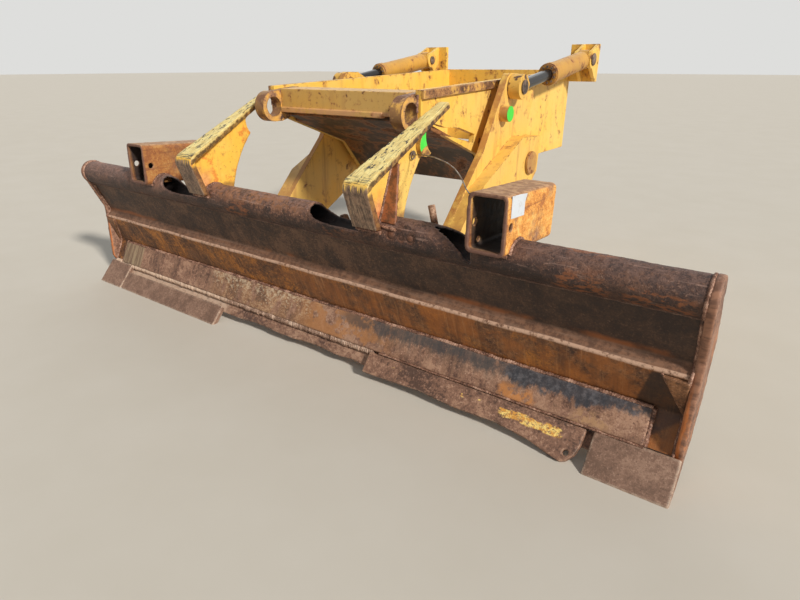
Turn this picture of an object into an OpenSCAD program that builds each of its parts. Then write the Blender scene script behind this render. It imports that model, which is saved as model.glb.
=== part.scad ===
/* [Blade] */
// Overall length of the blade, over its end plates
blade_w = 3000; // [2600:10:3400]
// Height of the top roll's crown above the cutting edges
blade_h = 654; // [630:1:680]
// Outer diameter of the pipe that forms the top roll
roll_d = 114; // [104:1:122]
// Wall of the roll pipe
roll_wall = 12; // [8:1:20]
// How far the roll's axis lies behind the cutting edge
roll_setback = 83; // [75:1:95]
// Thickness of the folded moldboard plate
board_t = 20; // [12:1:26]
// Height of the ridge along the middle of the moldboard
ridge_h = 355; // [340:1:370]
// How far the ridge lies behind the cutting edge
ridge_setback = 100; // [92:1:110]
// Depth of the shelf from the ridge back to the upper plate
shelf_d = 28; // [20:1:40]
// Rise of the shelf from the ridge back to the upper plate
shelf_rise = 33; // [20:1:45]
// Height of the valley under the ridge
valley_h = 207; // [195:1:220]
// Depth of the valley behind the ridge
valley_d = 56; // [45:1:70]
// Height of the foot of the moldboard, where the edges begin
foot_h = 100; // [90:1:112]
// Thickness of each end plate
end_t = 25; // [16:1:32]
// Thickness of the wear plate on the lower moldboard
wear_t = 16; // [10:1:20]
// Bare moldboard left between the wear plate and each end plate
wear_gap = 80; // [50:1:120]
// Depth of the box beam behind the ridge
beam_d = 190; // [160:1:210]

/* [Cutting edges] */
// Thickness of the bolted edge pieces
edge_t = 25; // [16:1:30]
// Thickness of the base edge that carries them
base_t = 25; // [18:1:32]
// Slant height of the new end bits
bit_slant = 140; // [125:1:150]
// Length of the outer bit at the left end
left_outer_w = 212; // [150:1:260]
// Length of the inner bit at the left end
left_inner_w = 798; // [600:1:860]
// Slant height of the left inner bit, measured from the ground
left_inner_slant = 100; // [80:1:115]
// Length of the single bit at the right end
right_bit_w = 244; // [180:1:300]
// Length of the worn centre edge
centre_w = 845; // [600:1:900]
// Slant height that wear has left of the centre edge
centre_slant = 80; // [70:1:90]
// Opening left between neighbouring edge pieces
edge_gap = 12; // [4:1:40]
// Diameter of the bolt holes in the centre edge
bolt_d = 19; // [12:1:24]

/* [Sockets] */
// Width of the square-mouthed tubes on the roll
socket_w = 127; // [110:1:140]
// Height of the tubes
socket_h = 178; // [150:1:190]
// Wall of the tubes
socket_wall = 12; // [8:1:16]
// Length of the tubes
socket_len = 356; // [300:1:400]
// Distance of each tube's middle from the blade's middle
socket_x = 895; // [800:1:1100]
// Diameter of the cross pin holes through the tubes
socket_pin_d = 25; // [16:1:32]
// Fall of the tubes towards the rear, in degrees
socket_fall = 3; // [0:0.5:5]

/* [Hook arms] */
// Distance of each hook web's inner face from the middle
hook_x = 450; // [442:1:470]
// Thickness of the hook web
web_t = 28; // [16:1:36]
// Thickness of the top flange
flange_t = 25; // [16:1:30]
// Width of the flange at its bend
flange_w = 105; // [95:1:130]
// Width of the flange at its tip
tip_w = 43; // [38:1:60]
// Height of the flange's bend above the cutting edges
bend_h = 775; // [760:1:800]
// How far the bend stands in front of the cutting edge
bend_lead = 60; // [50:1:80]
// Slope of the flange, in degrees
flange_slope = 25; // [22:0.5:28]
// Length of the flange from its bend to its tip
flange_len = 535; // [500:1:560]
// Radius of the hooked mouth in the web
mouth_r = 75; // [65:1:85]
// Diameter of the round pad beside the mouth
pad_d = 86; // [70:1:88]

/* [Push arms] */
// Distance of each arm's inner face from the middle
arm_x = 445; // [438:1:460]
// Thickness of the arm's main plate
arm_t = 30; // [20:1:36]
// Width of the boxed lower part of the arm
box_w = 90; // [80:1:100]
// Diameter of the pivot pins
pivot_d = 80; // [60:1:90]
// How far the pivots lie behind the cutting edge
pivot_setback = 1120; // [1100:1:1160]
// Height of the pivots above the cutting edges
pivot_h = 700; // [680:1:715]
// Diameter of the tube that ties the two arms together
tie_d = 80; // [60:1:90]

/* [Lift cylinders] */
// Bore side outer diameter of the barrels
barrel_d = 92; // [84:1:98]
// Diameter of the piston rods
rod_d = 50; // [40:1:56]
// Diameter of the pins at both ends
cyl_pin_d = 45; // [36:1:50]
// Thickness of the eyes at both ends
eye_t = 52; // [50:1:58]
// Thickness of the boss between the arm and the rod eye
boss_t = 3; // [2:1:12]
// How far the rod eye lies behind the cutting edge
eye_setback = 1000; // [985:1:1015]
// Height of the rod eye above the cutting edges
eye_h = 1035; // [1025:1:1045]
// How far the base pin lies behind the cutting edge
base_setback = 1800; // [1790:1:1810]
// Rise of the base pin above the top of the crossmember
base_rise = 122; // [112:1:132]
// Length from the base pin to the mouth of the barrel
barrel_len = 495; // [485:1:500]

/* [Frame nose] */
// Width of the nose over its side plates
nose_w = 800; // [740:2:820]
// Thickness of the side plates
side_t = 25; // [16:1:30]
// How far the front of the nose lies behind the cutting edge
nose_setback = 400; // [390:1:410]
// How far the rear face lies behind the cutting edge
rear_setback = 1900; // [1860:1:2000]
// Height of the top of the crossmember
cross_h = 1028; // [1020:1:1040]
// Height of the crossmember's front face
cross_face = 90; // [70:1:110]
// Thickness of the crossmember and belly plates
cross_t = 20; // [12:1:25]
// Slope of the belly plate, in degrees
belly_slope = 20.5; // [18:0.5:23]
// Thickness of the ears
ear_t = 52; // [40:1:60]
// Outer diameter of the ears
ear_d = 125; // [115:1:135]
// Bore of the ears
ear_bore = 80; // [60:1:90]
// How far the ears' bores lie below the top of the crossmember
ear_drop = 71; // [63:1:83]
// How far the ears' bores lie in front of the nose
ear_lead = 44; // [30:1:60]
// Rise of the side plates' top edge from the front to the rear
top_rise = 60; // [40:1:80]
// Height of the rear face's middle above the cutting edges
mount_h = 900; // [860:1:940]

/* [Hidden] */
$fn = 64;

// Clearances
// Radial running fit of a pin in its bore
pin_fit = 0.05;
// Gap between faces that slide past each other
side_gap = 1;
// Gap between faces that rest on each other
seat = 0.3;
// Overshoot of a cut past the face that it opens
cut = 2;

// Moldboard profile, as [setback, height] along its front face from the roll down to the foot
roll_r = roll_d / 2;
roll_axis = [roll_setback, blade_h - roll_r];
lip = roll_axis - roll_r * [0.386, 0.79];
ridge = [ridge_setback, ridge_h];
shelf_back = ridge + [shelf_d, shelf_rise];
valley = [ridge_setback + valley_d, valley_h];
edge_lean = 48.5;
slant = [cos(edge_lean), sin(edge_lean)];
foot = [foot_h / tan(edge_lean) + wear_t, foot_h];
board_front = [lip, shelf_back, ridge, valley, foot];
inner_half = blade_w / 2 - end_t;

// Arms and frame
pivot = [pivot_setback, pivot_h];
eye = [eye_setback, eye_h];
base_h = cross_h + base_rise;
base = [base_setback, base_h];
arm_out = arm_x + arm_t;
// Middle plane of the lift cylinders
cyl_x = arm_out + boss_t + side_gap + eye_t / 2;
box_out = arm_x + box_w;
side_out = nose_w / 2;
side_in = side_out - side_t;
ear_at = [nose_setback - ear_lead, cross_h - ear_drop];
ear_in = side_in - ear_t + side_t / 2;
bend = [-bend_lead, bend_h];
along_flange = [cos(flange_slope), sin(flange_slope)];
tip = bend + flange_len * along_flange;
hook_foot = [roll_axis[0] - roll_r * cos(15), roll_axis[1] + roll_r * sin(15)];
flange_out = hook_x + 0.1 * web_t + flange_w / 2;
mouth = tip - mouth_r * [0.8, 1.387];

// The back beam behind the ridge: front, rear, underside and top
beam_rear = ridge_setback + beam_d;
beam_low = valley_h - board_t / 2;
beam_top = ridge_h + board_t / 2;
beam_wall = 0.6 * board_t;

// Unit normal that points to the rear of a downward line
function back_normal(a, b) = [a[1] - b[1], b[0] - a[0]] / norm(b - a);
// Corner i of a line moved back by t, mitred with the next and previous stretch
function mitred(line, i, t) =
    let (
        last = len(line) - 1,
        n0 = back_normal(line[max(i - 1, 0)], line[max(i, 1)]),
        n1 = back_normal(line[min(i, last - 1)], line[min(i + 1, last)])
    )
    line[i] + t * (n0 + n1) / (1 + n0 * n1);
function moved_back(line, t) = [for (i = [0 : len(line) - 1]) mitred(line, i, t)];
function reversed(line) = [for (i = [len(line) - 1 : -1 : 0]) line[i]];
// Closed outline of a band of thickness t behind a line
function band(line, t) = concat(line, reversed(moved_back(line, t)));
// Setback of a line of two points at a height
function setback_at(a, b, h) = a[0] + (b[0] - a[0]) * (h - a[1]) / (b[1] - a[1]);
// Points beside a line from a to b, each as [share of the way, offset to its upper side as a share]
function beside(a, b, table) =
    [for (row = table) a + row[0] * (b - a) + row[1] * [a[1] - b[1], b[0] - a[0]]];

// Puts the blade's own frame into the frame of the rear mount
module on_mount() translate([0, -rear_setback, -mount_h]) children();

// Extrudes a [setback, height] outline from x0 to x1
module across(x0, x1) translate([x0, 0, 0]) rotate([90, 0, 90]) linear_extrude(x1 - x0) children();

// Round bar along X at a [setback, height]
module bar(at, d, x0, x1) translate([x0, at[0], at[1]]) rotate([0, 90, 0]) cylinder(d = d, h = x1 - x0);

// Bore along X through a [setback, height]
module bore(at, d, x0, x1) bar(at, d, x0 - cut, x1 + cut);

// Mirrors what is drawn for the right side to side -1, or keeps it for side 1
module side(s) mirror([s < 0 ? 1 : 0, 0, 0]) children();

// Nose of the front frame
module nose_crossmember() on_mount() color("goldenrod") {
    low = cross_h - cross_face;
    lip_t = 0.35 * cross_t;
    across(-ear_in, ear_in)
        polygon([
            [nose_setback, low], [nose_setback, cross_h],
            [nose_setback + 6.5 * cross_t, cross_h + 0.2 * cross_t],
            [nose_setback + 6.5 * cross_t, cross_h - 0.8 * cross_t],
            [nose_setback + cross_t, cross_h - cross_t], [nose_setback + cross_t, low]
        ]);
    // Rolled lip along the lower edge, left out where the belly rises beside the right ear
    across(-ear_in, ear_in * 0.66)
        polygon([
            [nose_setback - lip_t, low - lip_t], [nose_setback - lip_t, low + 2 * lip_t],
            [nose_setback, low + 2 * lip_t], [nose_setback, low], [nose_setback + cross_t, low],
            [nose_setback + cross_t, low - lip_t]
        ]);
}

ear_root = 0.88 * ear_d;
module frame_ear(s) on_mount() side(s) color("goldenrod") difference() {
    union() {
        bar(ear_at, ear_d, ear_in, ear_in + ear_t);
        across(ear_in, side_in)
            polygon([
                ear_at + [0, ear_d / 2], [nose_setback + ear_root, cross_h + 0.3 * cross_t],
                [nose_setback + ear_root, ear_at[1] - 0.26 * ear_d], [nose_setback, ear_at[1] - ear_d / 2],
                ear_at - [0, ear_d / 2]
            ]);
    }
    bore(ear_at, ear_bore, ear_in, ear_in + ear_t);
    // Seat round the front corner of the side plate
    translate([side_in, nose_setback, 0]) cube([side_t + cut, ear_d, cross_h * 2]);
}
module frame_ear_left() frame_ear(-1);
module frame_ear_right() frame_ear(1);

// Rear end of the sloping belly, height of its lower edge, and height of the top edge at a setback
belly_end = nose_setback + 0.64 * (pivot_setback - nose_setback);
function belly_at(y) = cross_h - cross_face - 0.6 * cross_t - (y - nose_setback) * tan(belly_slope);
function top_at(y) =
    cross_h + cross_t / 2 + top_rise * (y - nose_setback) / (rear_setback - nose_setback);
nose_low = pivot_h - pivot_d / 4;

module side_plate(s, torn) on_mount() side(s) color("gold") difference() {
    union() {
        across(side_in, side_out)
            polygon([
                [nose_setback, belly_at(nose_setback)], [nose_setback, top_at(nose_setback)],
                [rear_setback - cross_t, top_at(rear_setback)], [rear_setback - cross_t, nose_low],
                [pivot_setback + 4 * pivot_d, nose_low], pivot + pivot_d * [1.9, -1.5],
                pivot - pivot_d * [1.6, 1.4], [belly_end, belly_at(belly_end)]
            ]);
        bar(pivot, pivot_d * 2, side_out, arm_x - side_gap);
    }
    bore(pivot, pivot_d + 2 * pin_fit, side_in, arm_x);
    // Torn opening along the belly's edge, as [share of the belly's length, rise over its edge]
    if (torn)
        across(side_in - cut, side_out + cut)
            polygon([
                for (p = [
                    [0.12, 0], [0.17, 1.1], [0.39, 1.7], [0.65, 3.3], [0.91, 3.85], [0.89, 2],
                    [0.52, 0.7], [0.26, -0.45]
                ])
                    let (y = nose_setback + p[0] * (belly_end - nose_setback))
                    [y, belly_at(y) + p[1] * cross_t]
            ]);
}
module side_plate_left() side_plate(-1, false);
module side_plate_right() side_plate(1, true);

module top_rail(s) on_mount() side(s) color("peru")
    across(side_out, side_out + 0.56 * side_t)
        polygon([
            for (p = [[nose_setback, 1.6], [nose_setback, 0], [rear_end, 0], [rear_end, 1.6]])
                [p[0], top_at(p[0]) - p[1] * cross_t]
        ]);
rear_end = rear_setback - 6 * cross_t;
module top_rail_left() top_rail(-1);
module top_rail_right() top_rail(1);

module belly_plate() on_mount() color("darkgoldenrod") difference() {
    across(-side_in, side_in)
        polygon(band([
            [nose_setback + 1.4 * cross_t, belly_at(nose_setback + cross_t) + cross_t],
            [belly_end, belly_at(belly_end) + 1.2 * cross_t],
            pivot - pivot_d * [1.5, 1]
        ], -cross_t));
    // Room for the ears' roots
    for (x = [-side_in - cut, ear_in])
        translate([x, nose_setback - cut, 0]) cube([ear_t, ear_root + 2 * cut, cross_h]);
}

// Rear plate, the face that the nose is carried by
module rear_bulkhead() on_mount() color("gold")
    translate([-side_out, rear_setback - cross_t, nose_low])
        cube([nose_w, cross_t, top_at(rear_setback) - nose_low]);

module pivot_pin(s) on_mount() side(s) color("dimgray") {
    bar(pivot, pivot_d, side_in - 0.4 * side_t, box_out + side_gap + cut);
    bar(pivot, 1.32 * pivot_d, box_out + side_gap, box_out + 0.18 * pivot_d);
}
module pivot_pin_left() pivot_pin(-1);
module pivot_pin_right() pivot_pin(1);

lug_t = eye_t * 0.4;
lug_low = cross_h + cross_t / 2;
lug_high = base_h + 1.7 * cyl_pin_d;
module cylinder_bracket(s) on_mount() side(s) color("gold") difference() {
    union() {
        // Gusset across the bulkhead's edge
        translate([side_out, rear_setback - side_t, lug_low])
            cube([cyl_x + eye_t / 2 + lug_t + side_gap - side_out, side_t, lug_high - lug_low]);
        for (x = [cyl_x - eye_t / 2 - side_gap - lug_t, cyl_x + eye_t / 2 + side_gap]) {
            bar(base, cyl_pin_d * 2, x, x + lug_t);
            across(x, x + lug_t)
                polygon([
                    base + [0, cyl_pin_d], [rear_setback - side_t, lug_high],
                    [rear_setback - side_t, lug_low], base - [0, cyl_pin_d]
                ]);
        }
    }
    bore(base, cyl_pin_d + 2 * pin_fit, side_out, cyl_x + eye_t);
}
module cylinder_bracket_left() cylinder_bracket(-1);
module cylinder_bracket_right() cylinder_bracket(1);

module base_pin(s) on_mount() side(s) color("dimgray") {
    reach = eye_t / 2 + lug_t + side_gap;
    bar(base, cyl_pin_d, cyl_x - reach - 0.13 * cyl_pin_d, cyl_x + reach + seat);
    bar(base, 1.35 * cyl_pin_d, cyl_x + reach + seat, cyl_x + reach + 0.18 * cyl_pin_d);
}
module base_pin_left() base_pin(-1);
module base_pin_right() base_pin(1);

// Blade
module moldboard() on_mount() color("saddlebrown") difference() {
    across(-inner_half, inner_half) polygon(band(board_front, board_t));
    bore(roll_axis, roll_d, -inner_half, inner_half);
}

// Scoop that is cut from the roll between x0, where it starts to fall, and x1
module roll_scoop(x0, x1) {
    fall_r = 2.28 * roll_d;
    difference() {
        translate([x0, 0, roll_axis[1]]) cube([x1 - x0, roll_axis[0] + roll_d, roll_d]);
        translate([x0, -cut, blade_h - fall_r])
            rotate([-90, 0, 0])
                cylinder(r = fall_r, h = roll_axis[0] + roll_d + 2 * cut, $fn = 96);
    }
}

socket_r = 1.5 * socket_wall;
// Solid that a socket tube fills, or its bore when shrunk by its wall
module tube_block(w, h, len, r) {
    rotate([90, 0, 0]) translate([0, 0, -len]) linear_extrude(len) {
        translate([-w / 2 + r, 0]) square([w - 2 * r, h]);
        translate([-w / 2, r]) square([w, h - 2 * r]);
        for (x = [-w / 2 + r, w / 2 - r], z = [r, h - r])
            translate([x, z]) circle(r);
    }
}
socket_seat = [roll_setback - roll_r - 0.26 * socket_w, roll_axis[1] + 0.316 * roll_r];
module at_socket(s) translate([s * socket_x, socket_seat[0], socket_seat[1]])
    rotate([-socket_fall, 0, 0]) children();

module top_roll() on_mount() color("#6b4a42") difference() {
    bar(roll_axis, roll_d, -inner_half, inner_half);
    bore(roll_axis, roll_d - 2 * roll_wall, -inner_half, inner_half);
    for (s = [-1, 1])
        at_socket(s) tube_block(socket_w, socket_h, socket_len, socket_r);
    roll_scoop(socket_x - socket_w / 2 - 1.75 * roll_d, socket_x - socket_w / 2);
    roll_scoop(-flange_out - 2.1 * roll_d, -flange_out);
    roll_scoop(flange_out - flange_w - 1.75 * roll_d, flange_out - flange_w);
}

module wear_plate() on_mount() color("#74493a")
    across(-inner_half + wear_gap, inner_half - wear_gap)
        polygon(band([valley + 0.03 * (foot - valley), foot], -wear_t));

// Place on the plane of the edge pieces, a distance up the slant and behind their face
function on_edge(up, behind) = up * slant + behind * [slant[1], -slant[0]];
module edge_piece(x0, x1, low, high)
    across(x0, x1)
        polygon([on_edge(low, 0), on_edge(high, 0), on_edge(high, edge_t), on_edge(low + edge_t / 4, edge_t)]);
// Draws on that plane: X along the blade, Y up the slant, Z out of the face
module on_slant() rotate([edge_lean, 0, 0]) children();

edge_top = foot_h / slant[1];
base_low = 0.57 * edge_top;
module base_edge() on_mount() color("#6a4237") difference() {
    across(-inner_half, inner_half)
        polygon([
            on_edge(base_low, edge_t), on_edge(edge_top - base_t / 4, edge_t),
            on_edge(edge_top + 0.8 * base_t, edge_t + base_t),
            on_edge(base_low + 0.4 * base_t, edge_t + base_t)
        ]);
    // Worn hollows along the bare middle stretch, as shares of the length: [middle, radius, depth]
    for (worn = blade_w * [[-0.083, 0.3, 0.003], [0.03, 0.233, 0.0037], [0.1, 0.087, 0.0023]])
        on_slant()
            translate([worn[0], base_low + worn[2] - worn[1], -edge_t - base_t - cut])
                cylinder(r = worn[1], h = base_t + 2 * cut, $fn = 96);
}

// Span of the centre edge, and the one bolt hole that wear has left in it
centre_x1 = blade_w / 2 - right_bit_w - 2 * edge_gap;
centre_x0 = centre_x1 - centre_w;
bolt_at = [centre_x1 - 1.95 * bolt_d, edge_top - centre_slant - bolt_d / 2];
// Lower edge as wear has left it: [share of the length, rise over the worn level in thicknesses]
worn_line = [
    [0, -0.1], [0.3, 0.24], [0.48, -0.16], [0.66, 0], [0.8, -0.52], [0.944, -1.68], [0.965, -1.32],
    [0.985, -0.5], [0.997, 0.8], [1, 2.4]
];
module centre_edge() on_mount() color("#7a4a34")
    on_slant() translate([0, 0, -edge_t]) difference() {
        linear_extrude(edge_t)
            polygon(concat(
                [for (p = worn_line) [centre_x0 + centre_w * p[0], edge_top - centre_slant + edge_t * p[1]]],
                [[centre_x1, edge_top], [centre_x0, edge_top]]
            ));
        translate([bolt_at[0], bolt_at[1], -cut]) cylinder(d = bolt_d, h = edge_t + 2 * cut);
    }

module end_bit_left_outer() on_mount() color("#6f4a3e")
    edge_piece(-blade_w / 2, -blade_w / 2 + left_outer_w - edge_gap, 0, bit_slant);
module end_bit_left_inner() on_mount() color("#6f4a3e")
    edge_piece(-blade_w / 2 + left_outer_w, -blade_w / 2 + left_outer_w + left_inner_w, 0, left_inner_slant);
module end_bit_right() on_mount() color("#6f4a3e")
    edge_piece(blade_w / 2 - right_bit_w, blade_w / 2, 0, bit_slant);

module end_plate(s) on_mount() side(s) color("#b5651d") difference() {
    union() {
        across(inner_half, blade_w / 2)
            polygon([
                roll_axis - [1.1 * roll_r, 0], ridge + end_t * [0.16, 2], ridge + end_t * [0.16, -0.8],
                on_edge(bit_slant, 0) + [0, end_t], on_edge(bit_slant, edge_t),
                on_edge(edge_t / 2, edge_t), on_edge(0, edge_t) + edge_t * [2, 0.4],
                [beam_rear - 0.3 * beam_d, 0.42 * valley_h], [beam_rear, valley_h],
                [beam_rear - 0.05 * beam_d, ridge_h + 0.3 * beam_d], roll_axis + [roll_r, 0]
            ]);
        bar(roll_axis, 1.07 * roll_d, inner_half, blade_w / 2);
    }
    across(inner_half - cut, blade_w / 2 + cut)
        polygon([
            on_edge(-cut, edge_t), on_edge(bit_slant, edge_t), on_edge(bit_slant, -2 * edge_t),
            on_edge(-cut, -2 * edge_t)
        ]);
}
module end_plate_left() end_plate(-1);
module end_plate_right() end_plate(1);

// Three-cornered plates that close the valley at both ends
gusset_w = 3 * end_t;
module corner_gussets() on_mount() color("#8a5030")
    for (s = [-1, 1])
        side(s) difference() {
            across(inner_half - gusset_w, inner_half)
                polygon([
                    ridge + board_t * [0.13, -0.4], valley + board_t * [-0.1, 0.2],
                    valley + board_t * [-0.8, 0.2], ridge + board_t * [-0.3, -0.7]
                ]);
            translate([inner_half - gusset_w, 0, ridge_h])
                rotate([0, -atan(gusset_w / (ridge_h - valley_h)), 0])
                    translate([-blade_h, 0, -blade_h])
                        cube([blade_h, blade_h, 2 * blade_h]);
        }

// Box beam behind the ridge and the valley, open where it meets the moldboard
module back_beam() on_mount() color("#5b463c") difference() {
    across(-inner_half, inner_half)
        polygon(concat(
            [[setback_at(valley, foot, beam_low) + board_t * 1.2, beam_low]],
            [[beam_rear, beam_low], [beam_rear, beam_top]],
            [[mitred(board_front, 1, board_t)[0], beam_top]],
            [mitred(board_front, 2, board_t), mitred(board_front, 3, board_t)]
        ));
    across(-inner_half + end_t, inner_half - end_t)
        polygon([
            [valley[0] + 1.7 * board_t, beam_low + beam_wall], [beam_rear - beam_wall, beam_low + beam_wall],
            [beam_rear - beam_wall, beam_top - beam_wall], [valley[0] + 1.7 * board_t, beam_top - beam_wall]
        ]);
}

// Upright ribs between the beam and the roll, at half the spaces between the fittings
rib_t = 0.8 * board_t;
rib_x = [0, arm_x / 2, (box_out + socket_x) / 2, socket_x, (socket_x + inner_half) / 2];
module back_ribs() on_mount() color("#5b463c") difference() {
    for (x = rib_x, s = x == 0 ? [1] : [-1, 1])
        across(s * x - rib_t / 2, s * x + rib_t / 2)
            polygon([
                [mitred(board_front, 1, board_t)[0], beam_top], [beam_rear, beam_top],
                roll_axis + roll_r * [1.5, 0.1], roll_axis + roll_r * [0.86, 0.1],
                mitred(board_front, 0, board_t), mitred(board_front, 1, board_t)
            ]);
    bore(roll_axis, roll_d, -blade_w / 2, blade_w / 2);
    for (s = [-1, 1])
        at_socket(s) tube_block(socket_w, socket_h, socket_len, socket_r);
}

module socket(s) on_mount() color("#a3552b") at_socket(s) difference() {
    tube_block(socket_w, socket_h, socket_len, socket_r);
    translate([0, -cut, socket_wall])
        tube_block(socket_w - 2 * socket_wall, socket_h - 2 * socket_wall, socket_len + 2 * cut, socket_r / 2);
    // Cross pin holes, one near the mouth and a smaller one low in the walls, as shares of the
    // tube's length and height and of the pin: [along, up, diameter]
    for (hole = [[0.1, 0.48, 1], [0.185, 0.16, 0.72]])
        translate([0, hole[0] * socket_len, hole[1] * socket_h])
            rotate([0, 90, 0])
                cylinder(d = hole[2] * socket_pin_d, h = socket_w * 1.2, center = true);
}
module socket_left() socket(-1);
module socket_right() socket(1);

flange_in = flange_out - flange_w;
flange_low = hook_foot - flange_t * [1.04, 0.56];
// Hook arm: bent and tapered flange on a web with a hooked mouth, and a leaning gusset outside
module hook_arm(s) on_mount() side(s) color("khaki") {
    difference() {
        across(flange_out - flange_w, flange_out)
            polygon(band([flange_low, bend, tip], -flange_t));
        bore(roll_axis, roll_d, hook_x - flange_w, flange_out);
        // Taper along the inner side of the flange
        translate([0, 0, bend_h - 2 * flange_t])
            linear_extrude(flange_len)
                polygon([
                    [flange_in - flange_t, bend[0] + flange_t], [flange_in, bend[0] + flange_t],
                    [flange_out - tip_w, tip[0]], [flange_out - tip_w, tip[0] + flange_t],
                    [flange_in - flange_t, tip[0] + flange_t]
                ]);
    }
    difference() {
        across(hook_x, hook_x + web_t)
            polygon([
                hook_foot + flange_t * [0.08, -0.4], bend + flange_t * [0.9, -0.9],
                tip - flange_t * [0.96, 1.56], tip - mouth_r * [0.8, 2.13],
                [beam_rear - 0.37 * beam_d, roll_axis[1]], [beam_rear - 0.21 * beam_d, beam_top],
                [mitred(board_front, 1, board_t)[0], beam_top],
                mitred(board_front, 1, board_t), mitred(board_front, 0, board_t)
            ]);
        across(hook_x - cut, hook_x + web_t + cut)
            polygon(band([flange_low, bend, tip + 3 * mouth_r * along_flange], -flange_t));
        bore(roll_axis, roll_d, hook_x, hook_x + web_t);
        bore(mouth, mouth_r * 2, hook_x, hook_x + web_t);
        translate([hook_x - cut, mouth[0], mouth[1] - mouth_r * 0.86])
            cube([web_t + 2 * cut, mouth_r * 3, mouth_r * 3]);
        // Long hollow of the rear edge
        bore(tip + flange_len * [0.462, -0.942], 1.87 * flange_len, hook_x, hook_x + web_t);
    }
    // Leaning gusset
    difference() {
        translate([hook_x + web_t, hook_foot[0] + 0.3 * flange_t, blade_h - 1.2 * flange_t])
            rotate([-22, 0, 0])
                rotate([90, 0, 0])
                    translate([0, 0, -0.4 * flange_t])
                        linear_extrude(0.4 * flange_t)
                            polygon(flange_w * [[0, 0], [0.69, 0], [0.26, 2.05], [0, 2.05]]);
        bore(roll_axis, roll_d, hook_x, hook_x + 2 * flange_w);
        across(hook_x, hook_x + 2 * flange_w)
            polygon([bend + [0, blade_h], bend, tip, tip + [0, blade_h]]);
        across(hook_x, hook_x + 2 * flange_w) polygon(band([bend, tip], -flange_t));
    }
}
module hook_arm_left() hook_arm(-1);
module hook_arm_right() hook_arm(1);

// Round pads cut by the mouths, painted on their ends
pad_t = 0.23 * pad_d;
module hook_pad(s) on_mount() side(s) color("limegreen") difference() {
    bar(mouth - mouth_r * [0.907, 0.427], pad_d, hook_x + web_t, hook_x + web_t + pad_t);
    bore(mouth, mouth_r * 2, hook_x + web_t, hook_x + web_t + pad_t);
}
module hook_pad_left() hook_pad(-1);
module hook_pad_right() hook_pad(1);

// Front, top and rear edges of the push arm, as [share, offset] beside the lines between its pins
beam_rear_top = [beam_rear, beam_top];
arm_front = beside(beam_rear_top, eye, [
    [0.261, -0.037], [0.446, -0.028], [0.646, -0.023], [0.816, 0.019], [0.995, 0.066]
]);
arm_top = beside(eye, pivot, [[-0.174, -0.027], [-0.083, 0.209], [0.294, 0.611], [0.352, 0.608]]);
arm_rear = beside(pivot, eye, [[0.449, -0.414], [0.251, -0.299]]);
box_front = beside(beam_rear_top, eye, [[0.261, -0.037], [0.433, -0.031]]);
box_top = beside(pivot, eye, [[0.413, 0.127]]);
box_rear = beside(pivot, eye, [[0.194, -0.392], [-0.222, -0.204], [-0.314, 0.023]]);
arm_low = concat(
    beside(beam_rear_top, pivot, [[0.676, -0.146]]),
    [[beam_rear + 0.3 * beam_d, beam_low], [beam_rear, beam_low]]
);
// Push arm: tall main plate with a boxed lower part, the pivot bore and a boss at the cylinder's eye
module push_arm(s) on_mount() side(s) color("gold") difference() {
    union() {
        across(arm_x, arm_out)
            polygon(concat([beam_rear_top], arm_front, arm_top, arm_rear, box_rear, arm_low));
        across(arm_out, box_out)
            polygon(concat([beam_rear_top], box_front, box_top, box_rear, arm_low));
        bar(eye, 2.1 * cyl_pin_d, arm_out, arm_out + boss_t);
        // Head of the eye's pin on the inner face
        bar(eye, 1.3 * cyl_pin_d, arm_x - 0.18 * cyl_pin_d, arm_x);
        // Round stub on the face of the arm
        bar(eye - cyl_pin_d * [1.82, 2.36], 1.47 * cyl_pin_d, arm_out, arm_out + 0.9 * cyl_pin_d);
    }
    bore(pivot, pivot_d + 2 * pin_fit, arm_x, box_out);
}
module push_arm_left() push_arm(-1);
module push_arm_right() push_arm(1);

// Tube between the arms
tie_at = [beam_rear + 0.75 * tie_d, (beam_low + beam_top) / 2];
module arm_tie() on_mount() color("gold") bar(tie_at, tie_d, -arm_x, arm_x);

// Outer end of the pin in the rod's eye, which ends against the arm's boss
module eye_pin(s) on_mount() side(s) color("dimgray") {
    bar(eye, cyl_pin_d, cyl_x - eye_t / 2 - side_gap + seat, cyl_x + eye_t / 2 + seat);
    bar(eye, 1.3 * cyl_pin_d, cyl_x + eye_t / 2 + seat, cyl_x + eye_t / 2 + 0.18 * cyl_pin_d);
}
module eye_pin_left() eye_pin(-1);
module eye_pin_right() eye_pin(1);

// Leaning rod that stands against the rear of the roll
stop_d = 0.21 * roll_d;
stop_x = flange_out + 0.42 * (socket_x - socket_w / 2 - flange_out);
module stop_rod() on_mount() color("#6b4a42")
    translate([stop_x, roll_axis[0] + roll_r + stop_d / 2 + seat, roll_axis[1] - 0.35 * roll_r])
        rotate([0, -14, 0])
            cylinder(d = stop_d, h = 2.1 * roll_r);

// Ring that hangs from a peg on the web of the right hook arm
ring_r = 0.46 * web_t;
ring_d = 0.18 * web_t;
peg_d = 0.43 * web_t;
ring_at = [hook_x + 1.32 * web_t, mouth[0] - 1.85 * mouth_r, mouth[1] - 0.815 * mouth_r];
module lock_ring() on_mount() color("silver") {
    peg_up = ring_r - ring_d / 2 - peg_d / 2 - seat;
    bar([ring_at[1], ring_at[2] + peg_up], peg_d, hook_x + web_t, ring_at[0] + ring_d);
    translate(ring_at)
        rotate([0, 90, 0])
            rotate_extrude()
                translate([ring_r, 0])
                    circle(d = ring_d, $fn = 24);
}

// Springy wire between the ring and the side of the right socket
wire_d = 0.8 * ring_d;
wire_start = ring_at + [ring_d / 2 + seat, -ring_r, 0];
wire_end = [
    socket_x - socket_w / 2 - seat, socket_seat[0] + 0.12 * socket_h, socket_seat[1] + 0.95 * socket_h
];
wire_run = wire_end - wire_start;
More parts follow.
